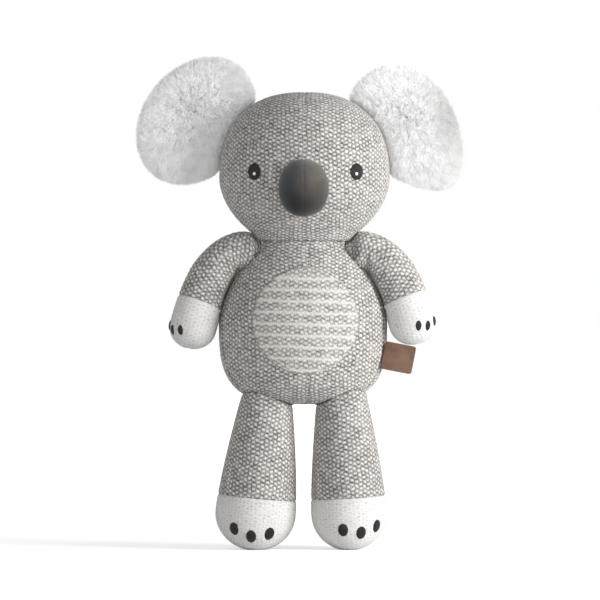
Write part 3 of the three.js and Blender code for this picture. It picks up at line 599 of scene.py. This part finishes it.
def patch_sheet(lifted):
    """The patch's face, or its back where it is turned under, as a grid of points on the body's front."""
    grid = np.linspace(-patch_radius, patch_radius, 201)
    down = grid[:, None]
    chord = np.sqrt(np.maximum(patch_radius**2 - down**2, 0))
    x = np.clip(grid[None, :], -chord, chord) if lifted else np.linspace(-1, 1, 9)[None, :] * chord
    edge = patch_radius - np.hypot(x, down)
    height = patch_stitch(x, down + patch_radius)
    face = 1.3 * np.sqrt(1 - np.clip(1 - edge / 1.8, 0, 1) ** 2) - 0.35
    raised = (height - 0.5) * stitch_height * (1 - np.exp(-((edge / 1.2) ** 2)))
    lift = face + raised if lifted else -0.35 - 0.5 * np.minimum(edge / 2, 1)
    place_x, place_z = patch_middle[0] + x, patch_middle[1] - down
    half = body_half_width(place_z - body_middle[2])
    along = np.sqrt(np.maximum(half**2 - (place_x - body_middle[0]) ** 2, 0))
    y = body_middle[1] - body_depth(place_z - body_middle[2]) * along - lift
    # painted shade: the tone darkens along the turned-under edge
    tone = height * (1 - 0.5 * np.exp(-((edge / 0.8) ** 2)))
    points = np.stack(np.broadcast_arrays(place_x, y, place_z), -1)
    return surface(points, 0.0, tone, x / wale, down / course, not lifted)


striped_knit = knitted_cotton("cream_striped_knit", "#d6d3ce", "#a39f9a", "#46423f")
patch = make_piece("tummy_patch_knit", [patch_sheet(True), patch_sheet(False)], striped_knit)
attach(patch, "torso")
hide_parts("tummy_patch")


# ---------------------------------------------------------------- arms
# Each arm is a bent, stuffed tube: a grey sleeve in the body's seed stitch, and a white knitted paw sewn on at the
# cuff. Its rounded root is sewn to the body's side, where it swings forward and back.
def joined_tip(beyond, length, roundness):
    """The half width, as a share, that rounds off the last stretch of a limb."""
    return (1 - np.clip(beyond / length, 0, 1) ** roundness) ** (1 / roundness)


def unit(vectors):
    """Vectors with their length made 1."""
    return vectors / np.maximum(np.linalg.norm(vectors, axis=-1, keepdims=True), 1e-6)


arm_forward, arm_bend = 9.0, (0.66, 0.1, 0.1)
paw_half_width, paw_half_depth, paw_tip, paw_length = 16.8, 14.8, 16, 34
arm_swings = -35, -15, 0, 20, 40, 60, 80, 95
arm_to_head, arm_to_body = 0.35, 0.3


def arm_path(sign, reach, fall):
    """The arm's middle line, a parabola with one bend: its points, its directions and the distance along it."""
    run = np.array([sign * reach, -arm_forward, -fall])
    start = np.array([body_middle[0] + sign * shoulder_out, shoulder_y, shoulder_z])
    bend = start + run * arm_bend
    share = np.linspace(0, 1, 801)[:, None]
    points = (1 - share) ** 2 * start + 2 * share * (1 - share) * bend + share**2 * (start + run)
    tangents = unit((1 - share) * (bend - start) + share * (start + run - bend))
    steps = np.linalg.norm(np.diff(points, axis=0), axis=1)
    return points, tangents, np.concatenate([[0], np.cumsum(steps)])


def arm_halves(along, length):
    """Half width and half depth at distances along an arm, which swells over its first third and has a round tip."""
    swell = np.clip(along / length / 0.35, 0, 1)
    tip = joined_tip(along - length + paw_tip, paw_tip, 2.1)
    wide = (arm_root + (paw_half_width - arm_root) * swell) * tip
    return wide, (arm_root + (paw_half_depth - arm_root) * swell) * tip


def at_distance(table, along, lengths):
    """Interpolates a table of vectors at distances along a path."""
    return np.stack([np.interp(along, lengths, table[:, i]) for i in range(3)], -1)


def out_of_turning_head(points, grow):
    """Under 1 inside the head, taken as wide from front to back as from side to side, since it turns."""
    offset = points - head_middle
    half = np.interp(-offset[..., 2], -head_profile[1], head_profile[2]) + grow
    return np.where(offset[..., 2] < head_neck_drop - grow, 9, np.hypot(offset[..., 0], offset[..., 1]) / half)


def turned_about(points, hinge, axis, degrees):
    """Turns points about a line through a hinge, by the formula of an axis and an angle."""
    offset, turn = points - hinge, np.radians(degrees)
    swung = offset * np.cos(turn) + np.cross(axis, offset) * np.sin(turn)
    return hinge + swung + axis * (offset @ axis)[..., None] * (1 - np.cos(turn))


def arm_is_free(points, sign, in_root):
    """Whether points are in the arm's root, or clear of the body's side, and clear of the head wherever the arm
    swings."""
    x = sign * (points[..., 0] - body_middle[0])
    away = np.hypot(points[..., 1] - shoulder_y, points[..., 2] - shoulder_z)
    inner = (x < shoulder_out) & (shoulder_out - x < root_reach(away, grow=0)) & (away < arm_root)
    outer = (x >= shoulder_out) & (np.hypot(x - shoulder_out, away) < arm_root)
    clear_of_head = np.ones(x.shape, bool)
    hinge, axis = np.array([0, shoulder_y, shoulder_z]), np.array([-1.0, 0, 0])
    for degrees in arm_swings:
        clear_of_head &= out_of_turning_head(turned_about(points, hinge, axis, degrees), arm_to_head) > 1
    side = body_half_width(shoulder_z - body_middle[2] - np.minimum(away, 50)) + arm_to_body
    return ((inner | outer) & clear_of_head) | (~in_root & (x > side) & clear_of_head)


def tube_rows(table, half, start_sewn, end_sewn):
    """The knitted rows of a tube whose half width is known at a table of distances down it. A sewn end gets three
    more rows that close it flat. Gives each row's distance down the tube and along the cloth, its share of the
    tube's width, and its distance from the nearest sewn end."""
    cloth = np.concatenate([[0], np.cumsum(np.hypot(np.diff(table), np.diff(half)))])
    rows = knit_rows(cloth[-1])
    closing, ends = np.array([0.0, 0.35, 0.7]), (3 * start_sewn, 3 * end_sewn)
    along, rows = np.pad(np.interp(rows, cloth, table), ends, "edge"), np.pad(rows, ends, "edge")
    share, away = np.ones(len(rows)), np.full(len(rows), 9.0)
    if start_sewn:
        share[:3], away = closing, np.minimum(away, rows)
    if end_sewn:
        share[-3:], away = closing[::-1], np.minimum(away, rows[-1] - rows)
    return along[:, None], rows[:, None], share[:, None], away[:, None]


def arm_sheet(sign, path, cuff, end, stitch=seed_stitch):
    """An arm's cloth between two distances along it, closed at both ends: an oval carried along its middle line, and
    cut where it would meet the body or the head. A cuff under zero means that the cloth starts with the root, a
    ball."""
    points, tangents, lengths = path
    length, root_width = lengths[-1], 1.15
    table = np.linspace(max(cuff, 0), end, 1201)
    if cuff < 0:
        table = np.concatenate([-arm_root * np.cos(np.linspace(0, np.pi / 2, 300)[:-1]), table])
    half = np.where(table < 0, np.sqrt(np.maximum(arm_root**2 - table**2, 0)), arm_halves(table, length)[0])
    along, rows, closing, end_away = tube_rows(table, half, cuff >= 0, end < length)
    beyond = np.maximum(along, 0)
    root = np.sqrt(np.maximum(arm_root**2 - np.minimum(along, 0) ** 2, 0))
    wide, deep = [np.where(along < 0, root, half) for half in arm_halves(beyond, length)]
    angle, across, *away = knit_columns(wide, -np.pi, np.pi, origin=0, aspect=0.9)
    forth = at_distance(tangents, beyond, lengths)
    out = unit(np.cross(forth, (0, 1, 0)))
    front = np.cross(forth, out)
    base = at_distance(points, beyond, lengths)
    ring = out * (wide * np.sin(angle))[..., None] + front * (deep * np.cos(angle))[..., None]
    ring = ring + forth * np.minimum(along, 0)[..., None]
    in_root = np.broadcast_to(along < 0, angle.shape)
    is_free = lambda share: arm_is_free(base + ring * share[..., None], sign, in_root)
    whole = np.where(in_root, root_width, 1.0)
    share, _ = narrowed(np.zeros(angle.shape), whole, is_free, steps=12)
    share = np.where(is_free(whole), whole, share) * closing
    points = base + ring * share[..., None]
    return knit_sheet(points, across, rows, np.minimum(np.minimum(*away), end_away), stitch)


white_knit = knitted_cotton("white_dotted_stitch", "#dcdbd9", "#c3c1be", "#8f8c89")
seam_allowance = 0.75
arm_paths = {}
for side, sign, reach, fall in (("right", -1, 38.3, 69.6), ("left", 1, 38.1, 66.4)):
    path = arm_paths[side] = arm_path(sign, reach, fall)
    length = path[2][-1]
    cuff = length - paw_length
    sleeve = make_piece(side + "_arm_cover", [arm_sheet(sign, path, -1, cuff + seam_allowance)], grey_knit)
    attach(sleeve, side + "_arm")
    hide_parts(side + "_arm_sleeve", side + "_arm_stuffing")
    paw_cloth = arm_sheet(sign, path, cuff - seam_allowance, length, dotted_stitch)
    paw = make_piece(side + "_paw_cover", [paw_cloth], white_knit)
    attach(paw, side + "_arm")
    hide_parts(side + "_paw")


# ---------------------------------------------------------------- legs
# Each leg is a stuffed tube that widens to a rounded foot with a flat sole, a grey sleeve with a white foot sewn on
# at the ankle. It is sewn under the body along the front edge of its top, and swings forward to sit.
leg_y, leg_top_z, leg_height = 3.587, 110.0, 110.5
leg_half_width, leg_half_depth = 18, 22
foot_half_depth, foot_rise, foot_height = 29, 27, 38
hinge_forward, toe_out, leg_sleeve_start = 27, 9, -34
leg_swings = 0, 12, 24, 36, 48, 60, 72, 84, 95
leg_to_body = 0.5


def make_leg(sign, hip_out, splay, foot_half_width):
    """A leg's top, its direction down, the direction to the toy's left, its length, its foot's half width, and its
    hinge, a line along the front of its top where it meets the body."""
    tilt, turn = np.radians(splay), sign * np.radians(toe_out)
    forth = np.array([sign * np.sin(tilt), 0, -np.cos(tilt)])
    left = np.cross(forth, (0, 1, 0))
    share = np.hypot(hip_out / body_width, hinge_forward / body_half_depth)
    roundness = body_roundness[1]
    hinge_z = body_middle[2] - body_reach[1] * (1 - share**roundness) ** (1 / roundness) - 0.3
    x = body_middle[0] + sign * hip_out
    return SimpleNamespace(
        top=np.array([x, leg_y, leg_top_z]),
        forth=forth,
        left=left,
        length=leg_height / np.cos(tilt),
        foot_half_width=foot_half_width,
        hinge=np.array([x, body_middle[1] - hinge_forward, hinge_z]),
        axis=-left * np.cos(turn) + np.cross(forth, left) * np.sin(turn),
    )


def leg_halves(leg, along):
    """Half width and half depth at distances down a leg, which widens to a round foot with a squarer sole."""
    straight = leg.length - foot_rise
    swell = 1 - np.maximum(0, 1 - np.maximum(0, along) / straight) ** 1.4
    wide = leg_half_width + (leg.foot_half_width - leg_half_width) * swell
    deep = leg_half_depth + (foot_half_depth - leg_half_depth) * swell
    past = along - straight
    return wide * joined_tip(past, foot_rise, 2.05), deep * joined_tip(past, foot_rise, 3)


def leg_points(leg, along, angle, share):
    """Points of a leg at distances down it, round it, and out from its middle as a share."""
    wide, deep = leg_halves(leg, along)
    x, y = share * wide * np.sin(angle), share * deep * np.cos(angle)
    return leg.top + along[..., None] * leg.forth + x[..., None] * leg.left - y[..., None] * np.array([0, 1, 0])


def leg_top(leg, angle, share):
    """How far down a leg's cloth starts, so that it keeps clear of the body wherever the leg swings."""

    def blocked(along):
        points = leg_points(leg, along, angle, share)
        touches = np.zeros(angle.shape, bool)
        for degrees in leg_swings:
            swung = turned_about(points, leg.hinge, leg.axis, degrees) - body_middle
            half = body_half_width(swung[..., 2]) + leg_to_body
            touches |= np.hypot(swung[..., 0], swung[..., 1] / body_aspect) <= half
        return touches

    return narrowed(np.full(angle.shape, -45.0), np.full(angle.shape, 45.0), blocked, steps=13)[1]


def leg_sheets(leg, start, end):
    """A leg's cloth between two distances down it, closed at the ankle: an oval carried straight down. The sleeve
    also has a lid on its top."""
    is_sleeve = end < leg.length
    table = np.linspace(start, end, 2001)
    along, rows, closing, end_away = tube_rows(table, leg_halves(leg, table)[0], not is_sleeve, is_sleeve)
    angle, across, *away = knit_columns(leg_halves(leg, along)[0], -np.pi, np.pi, origin=0, aspect=1.1)
    away = np.minimum(np.minimum(*away), end_away)
    if not is_sleeve:
        return [knit_sheet(leg_points(leg, along, angle, closing), across, rows, away, dotted_stitch)]
    turns = np.linspace(-np.pi, np.pi, 361)
    lowest = np.interp(angle, turns, leg_top(leg, turns, 1.0))
    away = np.minimum(away, np.maximum(along - lowest, 0))
    points = leg_points(leg, np.maximum(along, lowest), angle, closing)
    turns, share = np.broadcast_arrays(angle[:1], np.linspace(0, 1, 25)[:, None])
    lid_start = leg_top(leg, turns, share)
    lid_start[-1] = lowest[0]
    lid = knit_sheet(leg_points(leg, lid_start, turns, share), across[:1] * share, -20 * (1 - share), 0 * share)
    return [knit_sheet(points, across, rows, away), lid]


legs = {
    "right": make_leg(-1, hip_out=26, splay=5.6, foot_half_width=28.8),
    "left": make_leg(1, hip_out=28, splay=3.6, foot_half_width=27.2),
}
for side, leg in legs.items():
    ankle = leg.length - foot_height
    sleeve = make_piece(side + "_leg_cover", leg_sheets(leg, leg_sleeve_start, ankle + seam_allowance), grey_knit)
    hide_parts(side + "_leg_sleeve", side + "_leg_stuffing")
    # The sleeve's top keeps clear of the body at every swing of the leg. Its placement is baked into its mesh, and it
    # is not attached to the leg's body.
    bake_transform(sleeve)
    foot = make_piece(side + "_foot_cover", leg_sheets(leg, ankle - seam_allowance, leg.length), white_knit)
    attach(foot, side + "_leg")
    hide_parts(side + "_foot")


# ---------------------------------------------------------------- claws and toes
# Three ovals of dark satin stitch on the outer side of each paw, and three on the front of each foot.
def out_of_arm(path, places):
    """How far out of an arm places lie, 1 on its surface."""
    points, tangents, lengths = path
    flat = places.reshape(-1, 3)
    nearest = np.argmin(((flat[:, None] - points[None, ::8]) ** 2).sum(-1), axis=1) * 8
    along = lengths[nearest] + ((flat - points[nearest]) * tangents[nearest]).sum(-1)
    side = unit(np.cross(tangents[nearest], (0, 1, 0)))
    front = np.cross(tangents[nearest], side)
    offset = flat - at_distance(points, np.clip(along, 0, lengths[-1]), lengths)
    wide, deep = [np.maximum(half, 0.01) for half in arm_halves(along, lengths[-1])]
    return np.hypot((offset * side).sum(-1) / wide, (offset * front).sum(-1) / deep).reshape(places.shape[:-1])


def out_of_leg(leg, places):
    """How far out of a leg places lie, 1 on its surface."""
    offset = places - leg.top
    wide, deep = leg_halves(leg, offset @ leg.forth)
    return np.hypot((offset @ leg.left) / np.maximum(wide, 0.01), offset[..., 1] / np.maximum(deep, 0.01))


# each one's height above the tip of its limb, and its direction in degrees to the toy's left
claw_places = {"right": ((13.6, -34), (13.6, -64), (17, -82)), "left": ((13.6, 14), (13.6, 43), (17, 70))}
toe_places = {"right": ((12.8, 25), (11, -3), (16.4, -31)), "left": ((15.6, -11), (13.6, 16), (18.1, 45))}
claw_oval = 2.3, 3.9, 0.3, 0.9
for side in ("right", "left"):
    path, leg = arm_paths[side], legs[side]
    for i, (height, degrees) in enumerate(claw_places[side]):
        name = f"{side}_claw_{i + 1}"
        middle = at_distance(path[0], path[2][-1] - height, path[2])
        out_of = lambda places: out_of_arm(path, places)
        claw = embroidery(name + "_oval", out_of, middle, degrees, claw_oval, dark_thread)
        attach(claw, side + "_arm")
        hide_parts(name)
    for i, (height, degrees) in enumerate(toe_places[side]):
        name = f"{side}_toe_{i + 1}"
        middle = leg.top + leg.forth * (leg.length - height)
        toe_oval = 3.8 + 0.5 * np.sin(np.radians(abs(degrees))), 4.8, 0.3, 1.3
        out_of = lambda places: out_of_leg(leg, places)
        toe = embroidery(name + "_oval", out_of, middle, degrees, toe_oval, dark_thread)
        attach(toe, side + "_leg")
        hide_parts(name)


# ---------------------------------------------------------------- ears
# Each ear is a flat pad with a face of white long-pile plush and a back of the grey knit, lightly wadded. It is
# sewn into the head's side seam, where it is pinched thin and bends.
fur_length, fur_half_width = 5.6, 0.3
fibres_per_ear, tufts_per_ear = 54000, 520
ear_back = 2.0


def make_ear(sign, out, up, half_length, half_width, tilt, egg):
    """An ear's middle, its long and wide directions in the plane of the head's side seam, and its outline, an oval
    that is wider towards one end by the share egg."""
    turn = np.radians(tilt)
    return SimpleNamespace(
        middle=head_middle + (sign * out, ear_back, up),
        long=np.array([sign * np.cos(turn), 0, -np.sin(turn)]),
        wide=np.array([sign * np.sin(turn), 0, np.cos(turn)]),
        half_length=half_length,
        half_width=half_width,
        egg=egg,
    )


def outside_head(points):
    """How far points in the side seam's plane lie outside the head."""
    offset = points - head_middle
    up = offset[..., 2] > 0
    roundness, height = np.where(up, *head_roundness), np.where(up, *head_reach)
    share = (np.abs(offset[..., 0]) / head_width) ** roundness + (np.abs(offset[..., 2]) / height) ** roundness
    return (share ** (1 / roundness) - 1) * height


def ear_place(ear, angle, share):
    """Points in an ear's plane, at an angle round it and a share of the way out to its outline."""
    x = share * ear.half_length * np.cos(angle)
    z = share * (1 + ear.egg * np.cos(angle)) * ear.half_width * np.sin(angle)
    return ear.middle + x[..., None] * ear.long + z[..., None] * ear.wide


def ear_reach(ear, angle, clearance):
    """The share of the way out at which an ear's cloth ends: its outline, or the head where it is sewn on."""
    clear = lambda share: outside_head(ear_place(ear, angle, share)) > clearance
    whole = np.ones(angle.shape)
    return np.where(clear(whole), 1.0, narrowed(np.zeros(angle.shape), whole, clear, steps=14)[0])


def ear_swell(points, share, full):
    """Half an ear's thickness at points in its plane: a cushion, pinched towards the head."""
    cushion = np.maximum(1 - share**2.5, 0) ** 0.4
    limit = 0.8 + 0.95 * np.maximum(outside_head(points), 0)
    return cushion * (full**-3.0 + limit**-3.0) ** (-1 / 3)


def pinch(reach, share):
    """From 0 at the seam round an ear's cloth to 1 a little way in."""
    return np.sqrt(np.clip((reach - share) * 40, 0, 1))


def ear_sheet(ear, full, towards, around, rings):
    """One side of an ear, from the seam round its rim to its middle, and each point's share of the way out."""
    angle = np.linspace(0, 2 * np.pi, around)[None, :]
    reach = ear_reach(ear, angle, clearance=0.3)
    share = reach * np.sin(np.linspace(0, np.pi / 2, rings))[:, None]
    points = ear_place(ear, angle, share)
    points[..., 1] += towards * ear_swell(points, share, full) * pinch(reach, share)
    return points, share


def plush(name, root, tip):
    """White long-pile plush: fine soft fibres that pass some light on, painted greyer down at their roots as painted
    shade among the fibres.
    """
    material, tree = new_material(name)
    height = node(tree, "Attribute", attribute_name="tone")
    # tufts of about 5 mm
    place = node(tree, "TexCoord")
    tufts = node(tree, "TexNoise", {"Vector": place.outputs["Object"], "Scale": 190.0, "Detail": 2.0})
    shade = {"Value": tufts, "From Min": 0.3, "From Max": 0.7, "To Min": 0.93, "To Max": 1.03}
    ends = {"Factor": height.outputs["Fac"], "A": linear(root), "B": linear(tip)}
    fibre = {0: node(tree, "Mix", ends, data_type="RGBA").outputs["Result"], "Scale": node(tree, "MapRange", shade)}
    colour = node(tree, "VectorMath", fibre, operation="SCALE")
    lit = node(tree, "BsdfDiffuse", {"Color": colour})
    through = node(tree, "BsdfTranslucent", {"Color": colour})
    node(tree, "OutputMaterial", {"Surface": node(tree, "MixShader", {0: 0.5, 1: lit, 2: through})})
    return material


def fur_blades(ear, full, count, seed, rim_shade_towards):
    """Sets fibres on an ear's face: each a flat blade of five points, bent once, that leans outwards and towards the
    tip of its tuft. Fibres near the rim and the root are shorter. Also how much painted shade each takes, more towards
    the rim on the side of a given direction, where the lamps light the rim most."""
    rng = np.random.default_rng(seed)
    angle = rng.uniform(0, 2 * np.pi, count * 2)
    reach = ear_reach(ear, angle, clearance=0.6)
    share = np.sqrt(rng.uniform(0, 1, count * 2))
    kept = np.flatnonzero(share < reach - 0.004)[:count]
    angle, share, reach = angle[kept], share[kept], reach[kept]
    flat = ear_place(ear, angle, share)
    roots = flat.copy()
    roots[:, 1] -= ear_swell(flat, share, full) * pinch(reach, share)

    def on_face(x, z):
        turn, radius = np.arctan2(z, x), np.hypot(x, z)
        points = ear_place(ear, turn, radius)
        points[:, 1] -= ear_swell(points, np.minimum(radius, 1), full)
        return points

    x, z, step = share * np.cos(angle), share * np.sin(angle), 0.012
    here = on_face(x, z)
    normal = unit(np.cross(on_face(x + step, z) - here, on_face(x, z + step) - here))
    normal *= -np.sign(normal[:, 1:2])
    outward = unit(flat - ear.middle)
    tufts = roots[rng.integers(0, len(roots), tufts_per_ear)]
    nearest = np.argmin(((roots[:, None, ::2] - tufts[None, :, ::2]) ** 2).sum(-1), axis=1)
    to_tuft = unit(tufts[nearest] - roots)
    brushed = 2 * np.pi * scatter(nearest, 3.0)
    brushed = np.stack([np.cos(brushed), 0 * brushed, np.sin(brushed)], -1)
    spread = share[:, None] ** 1.7
    lean = rng.normal(0, 0.1, (len(roots), 3))
    flow = outward * (0.04 + 0.95 * spread) + brushed * 0.07 + to_tuft * 0.06 + (0, 0, -0.15)
    direction = unit(flow + normal * 0.6 + lean)
    away = np.maximum(outside_head(flat), 0)
    length = fur_length * rng.uniform(0.7, 1.1, len(roots)) * np.clip(0.5 + away / 8, 0, 1) * (1 - 0.3 * share**4)
    droop = unit(flow + normal * 0.15 + lean)
    across = unit(np.cross(direction, normal + rng.normal(0, 0.12, (len(roots), 3)))) * fur_half_width
    knee = roots + direction * (length * 0.5)[:, None]
    tip = knee + droop * (length * 0.5)[:, None]
    corners = [roots - across, roots + across, knee + across, knee - across, tip]
    # painted shade: fibres near the rim on the side the lamps light most are painted greyer
    return np.stack(corners, 1), share**3 * np.clip(outward @ rim_shade_towards, 0, 1)


def furred(name, surfaces, blades, material):
    """A cloth with blades of fur on it, as one mesh: each blade is a square and a triangle."""
    cloth = make_piece(name, surfaces, material)
    mesh = cloth.data
    base = len(mesh.vertices)
    old = np.zeros(base * 3)
    mesh.vertices.foreach_get("co", old)
    loops = np.zeros(len(mesh.loops), int)
    mesh.loops.foreach_get("vertex_index", loops)
    starts = np.zeros(len(mesh.polygons), int)
    mesh.polygons.foreach_get("loop_start", starts)
    corners, rim_shade = blades
    number = np.arange(len(corners))[:, None]
    blade_loops = (base + 5 * number + np.array([0, 1, 2, 3, 3, 2, 4])).ravel()
    blade_starts = (len(loops) + 7 * number + np.array([0, 4])).ravel()
    # painted shade: each blade is darker at its root than at its tip, and darker still on the shaded part of the rim
    blade_shade = np.array([0.865, 0.865, 0.955, 0.955, 1.0]) - rim_shade[:, None]
    made = bpy.data.meshes.new(name)
    made.vertices.add(base + blade_shade.size)
    made.vertices.foreach_set("co", np.concatenate([old, corners.ravel() / 1000]))
    made.loops.add(len(loops) + len(blade_loops))
    made.loops.foreach_set("vertex_index", np.concatenate([loops, blade_loops]))
    made.polygons.add(len(starts) + len(blade_starts))
    made.polygons.foreach_set("loop_start", np.concatenate([starts, blade_starts]))
    made.update(calc_edges=True)
    tone = np.concatenate([np.full(base, 0.85), blade_shade.ravel()])
    made.attributes.new("tone", "FLOAT", "POINT").data.foreach_set("value", tone)
    made.polygons.foreach_set("use_smooth", np.ones(len(made.polygons), bool))
    made.validate()
    made.update()
    made.materials.append(material)
    cloth.data = made
    bpy.data.meshes.remove(mesh)
    return cloth


def back_sheets(sign, half_width, ear):
    """The knitted back of an ear and its flat inner side, which lie behind the fur."""
    for full, towards in ((9.0, 1), (0.3, -1)):
        points, share = ear_sheet(ear, full, towards, around=481, rings=110)
        points[..., 1] += 0.8
        offset, edge = points - ear.middle, (1 - share) * half_width
        turned = sign * towards > 0
        points, relief, *rest = knit_sheet(points, offset @ ear.wide, offset @ ear.long, edge, turned=turned)
        yield points, relief * (np.clip(edge / 2, 0, 1) if towards > 0 else 0), *rest


white_plush = plush("white_long_pile_plush", "#d2d2d0", "#ffffff")
fur_inset, back_inset, face_full = 3.0, 2.6, 7.4
# the last column is the direction towards which each ear's rim is painted greyer, as painted shade where the lamps
# light it most
for side, sign, out, up, half_length, half_width, tilt, egg, rim_shade_towards in (
    ("right", -1, 78.0, 41.8, 50.6, 39.1, 52.5, 0.02, (0, 0, 0.28)),
    ("left", 1, 75.6, 34.4, 51.6, 36.1, 50.6, -0.26, (0.62, 0, 0.16)),
):
    ear = make_ear(sign, out, up, half_length - fur_inset, half_width - fur_inset, tilt, egg)
    faced = [
        surface(ear_sheet(ear, full, towards, around=181, rings=30)[0], 0.0, 0.0, 0.0, 0.0, sign * towards > 0)
        for full, towards in ((face_full, -1), (0.4, 1))
    ]
    blades = fur_blades(ear, face_full, fibres_per_ear, 7 + sign, np.array(rim_shade_towards))
    fur = furred(side + "_ear_plush", faced, blades, white_plush)
    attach(fur, side + "_ear")
    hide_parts(side + "_ear_fur_face", side + "_ear_wadding")
    ear = make_ear(sign, out, up, half_length - back_inset, half_width - back_inset, tilt, egg)
    back = make_piece(side + "_ear_back", list(back_sheets(sign, half_width, ear)), grey_knit)
    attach(back, side + "_ear")
    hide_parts(side + "_ear_knit_back")


# ---------------------------------------------------------------- tag
# A plain tab of brown leather, sewn into the body's left side seam by its inner edge.
def tanned_leather(name, colour, dark):
    """Vegetable-tanned leather: warm brown, a fine pebbled grain and a low wax gloss."""
    material, tree = new_material(name)
    place = node(tree, "TexCoord").outputs["Object"]
    # grain of about 0.6 mm, and clouds of about 8 mm from dyeing
    grain = node(tree, "TexVoronoi", {"Vector": place, "Scale": 1600.0})
    cloud = node(tree, "TexNoise", {"Vector": place, "Scale": 120.0, "Detail": 3.0})
    dye = node(tree, "MapRange", {"Value": cloud, "From Min": 0.3, "From Max": 0.7})
    tint = node(tree, "Mix", {"Factor": dye, "A": linear(dark), "B": linear(colour)}, data_type="RGBA")
    bump = node(tree, "Bump", {"Strength": 0.25, "Distance": 0.0002, "Height": grain.outputs["Distance"]})
    finish = {"Roughness": 0.55, "Specular IOR Level": 0.35}
    hide = node(tree, "BsdfPrincipled", {"Base Color": tint.outputs["Result"], "Normal": bump, **finish})
    node(tree, "OutputMaterial", {"Surface": hide})
    return material


tag_root = np.array([61.22, -4.413, 140.0])
tag_middle, tag_half_length, tag_half_height, tag_half_thickness = 9.9, 10.9, 9.6, 0.8
tag_ease, tag_tilt, tag_squareness = 0.5, 11, 14


def tag_sheet():
    """A slab with rounded outer corners and eased edges. Rows run round its section, from the middle of its front to
    the middle of its back, and columns along its outline, a superellipse. It curls forward at its end."""
    tilt = np.radians(tag_tilt)
    outward, upward = np.array([np.cos(tilt), 0, -np.sin(tilt)]), np.array([np.sin(tilt), 0, np.cos(tilt)])
    angle = np.linspace(0, 2 * np.pi, 161)[None, :]
    powers = np.abs(np.cos(angle)) ** tag_squareness + np.abs(np.sin(angle)) ** tag_squareness
    square = powers ** (-1 / tag_squareness)
    x, z = np.sin(angle) * square, -np.cos(angle) * square
    flat_rows, edge_rows = 24, 17
    turn = np.linspace(-np.pi / 2, np.pi / 2, edge_rows)
    inward = np.linspace(0, 1, flat_rows + 1)[:-1]
    inward = np.concatenate([inward, np.ones(edge_rows), inward[::-1]])[:, None]
    front = np.concatenate([np.full(flat_rows, -1), np.sin(turn), np.full(flat_rows, 1)])[:, None]
    ease = np.pad(np.cos(turn), flat_rows)[:, None] * tag_ease
    along = tag_middle + x * (tag_half_length * inward + ease)
    height = z * (tag_half_height * inward + ease)
    y = front * tag_half_thickness + (0.004 * along**2 - 0.014 * np.maximum(height + 1, 0) ** 2)
    points = tag_root + along[..., None] * outward + height[..., None] * upward + y[..., None] * np.array([0, 1, 0])
    return surface(points, 0.0, 0.0, along, height)


tag = make_piece("side_tag_leather", [tag_sheet()], tanned_leather("brown_tanned_leather", "#6d5341", "#553e2e"))
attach(tag, "tag")
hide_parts("side_tag")
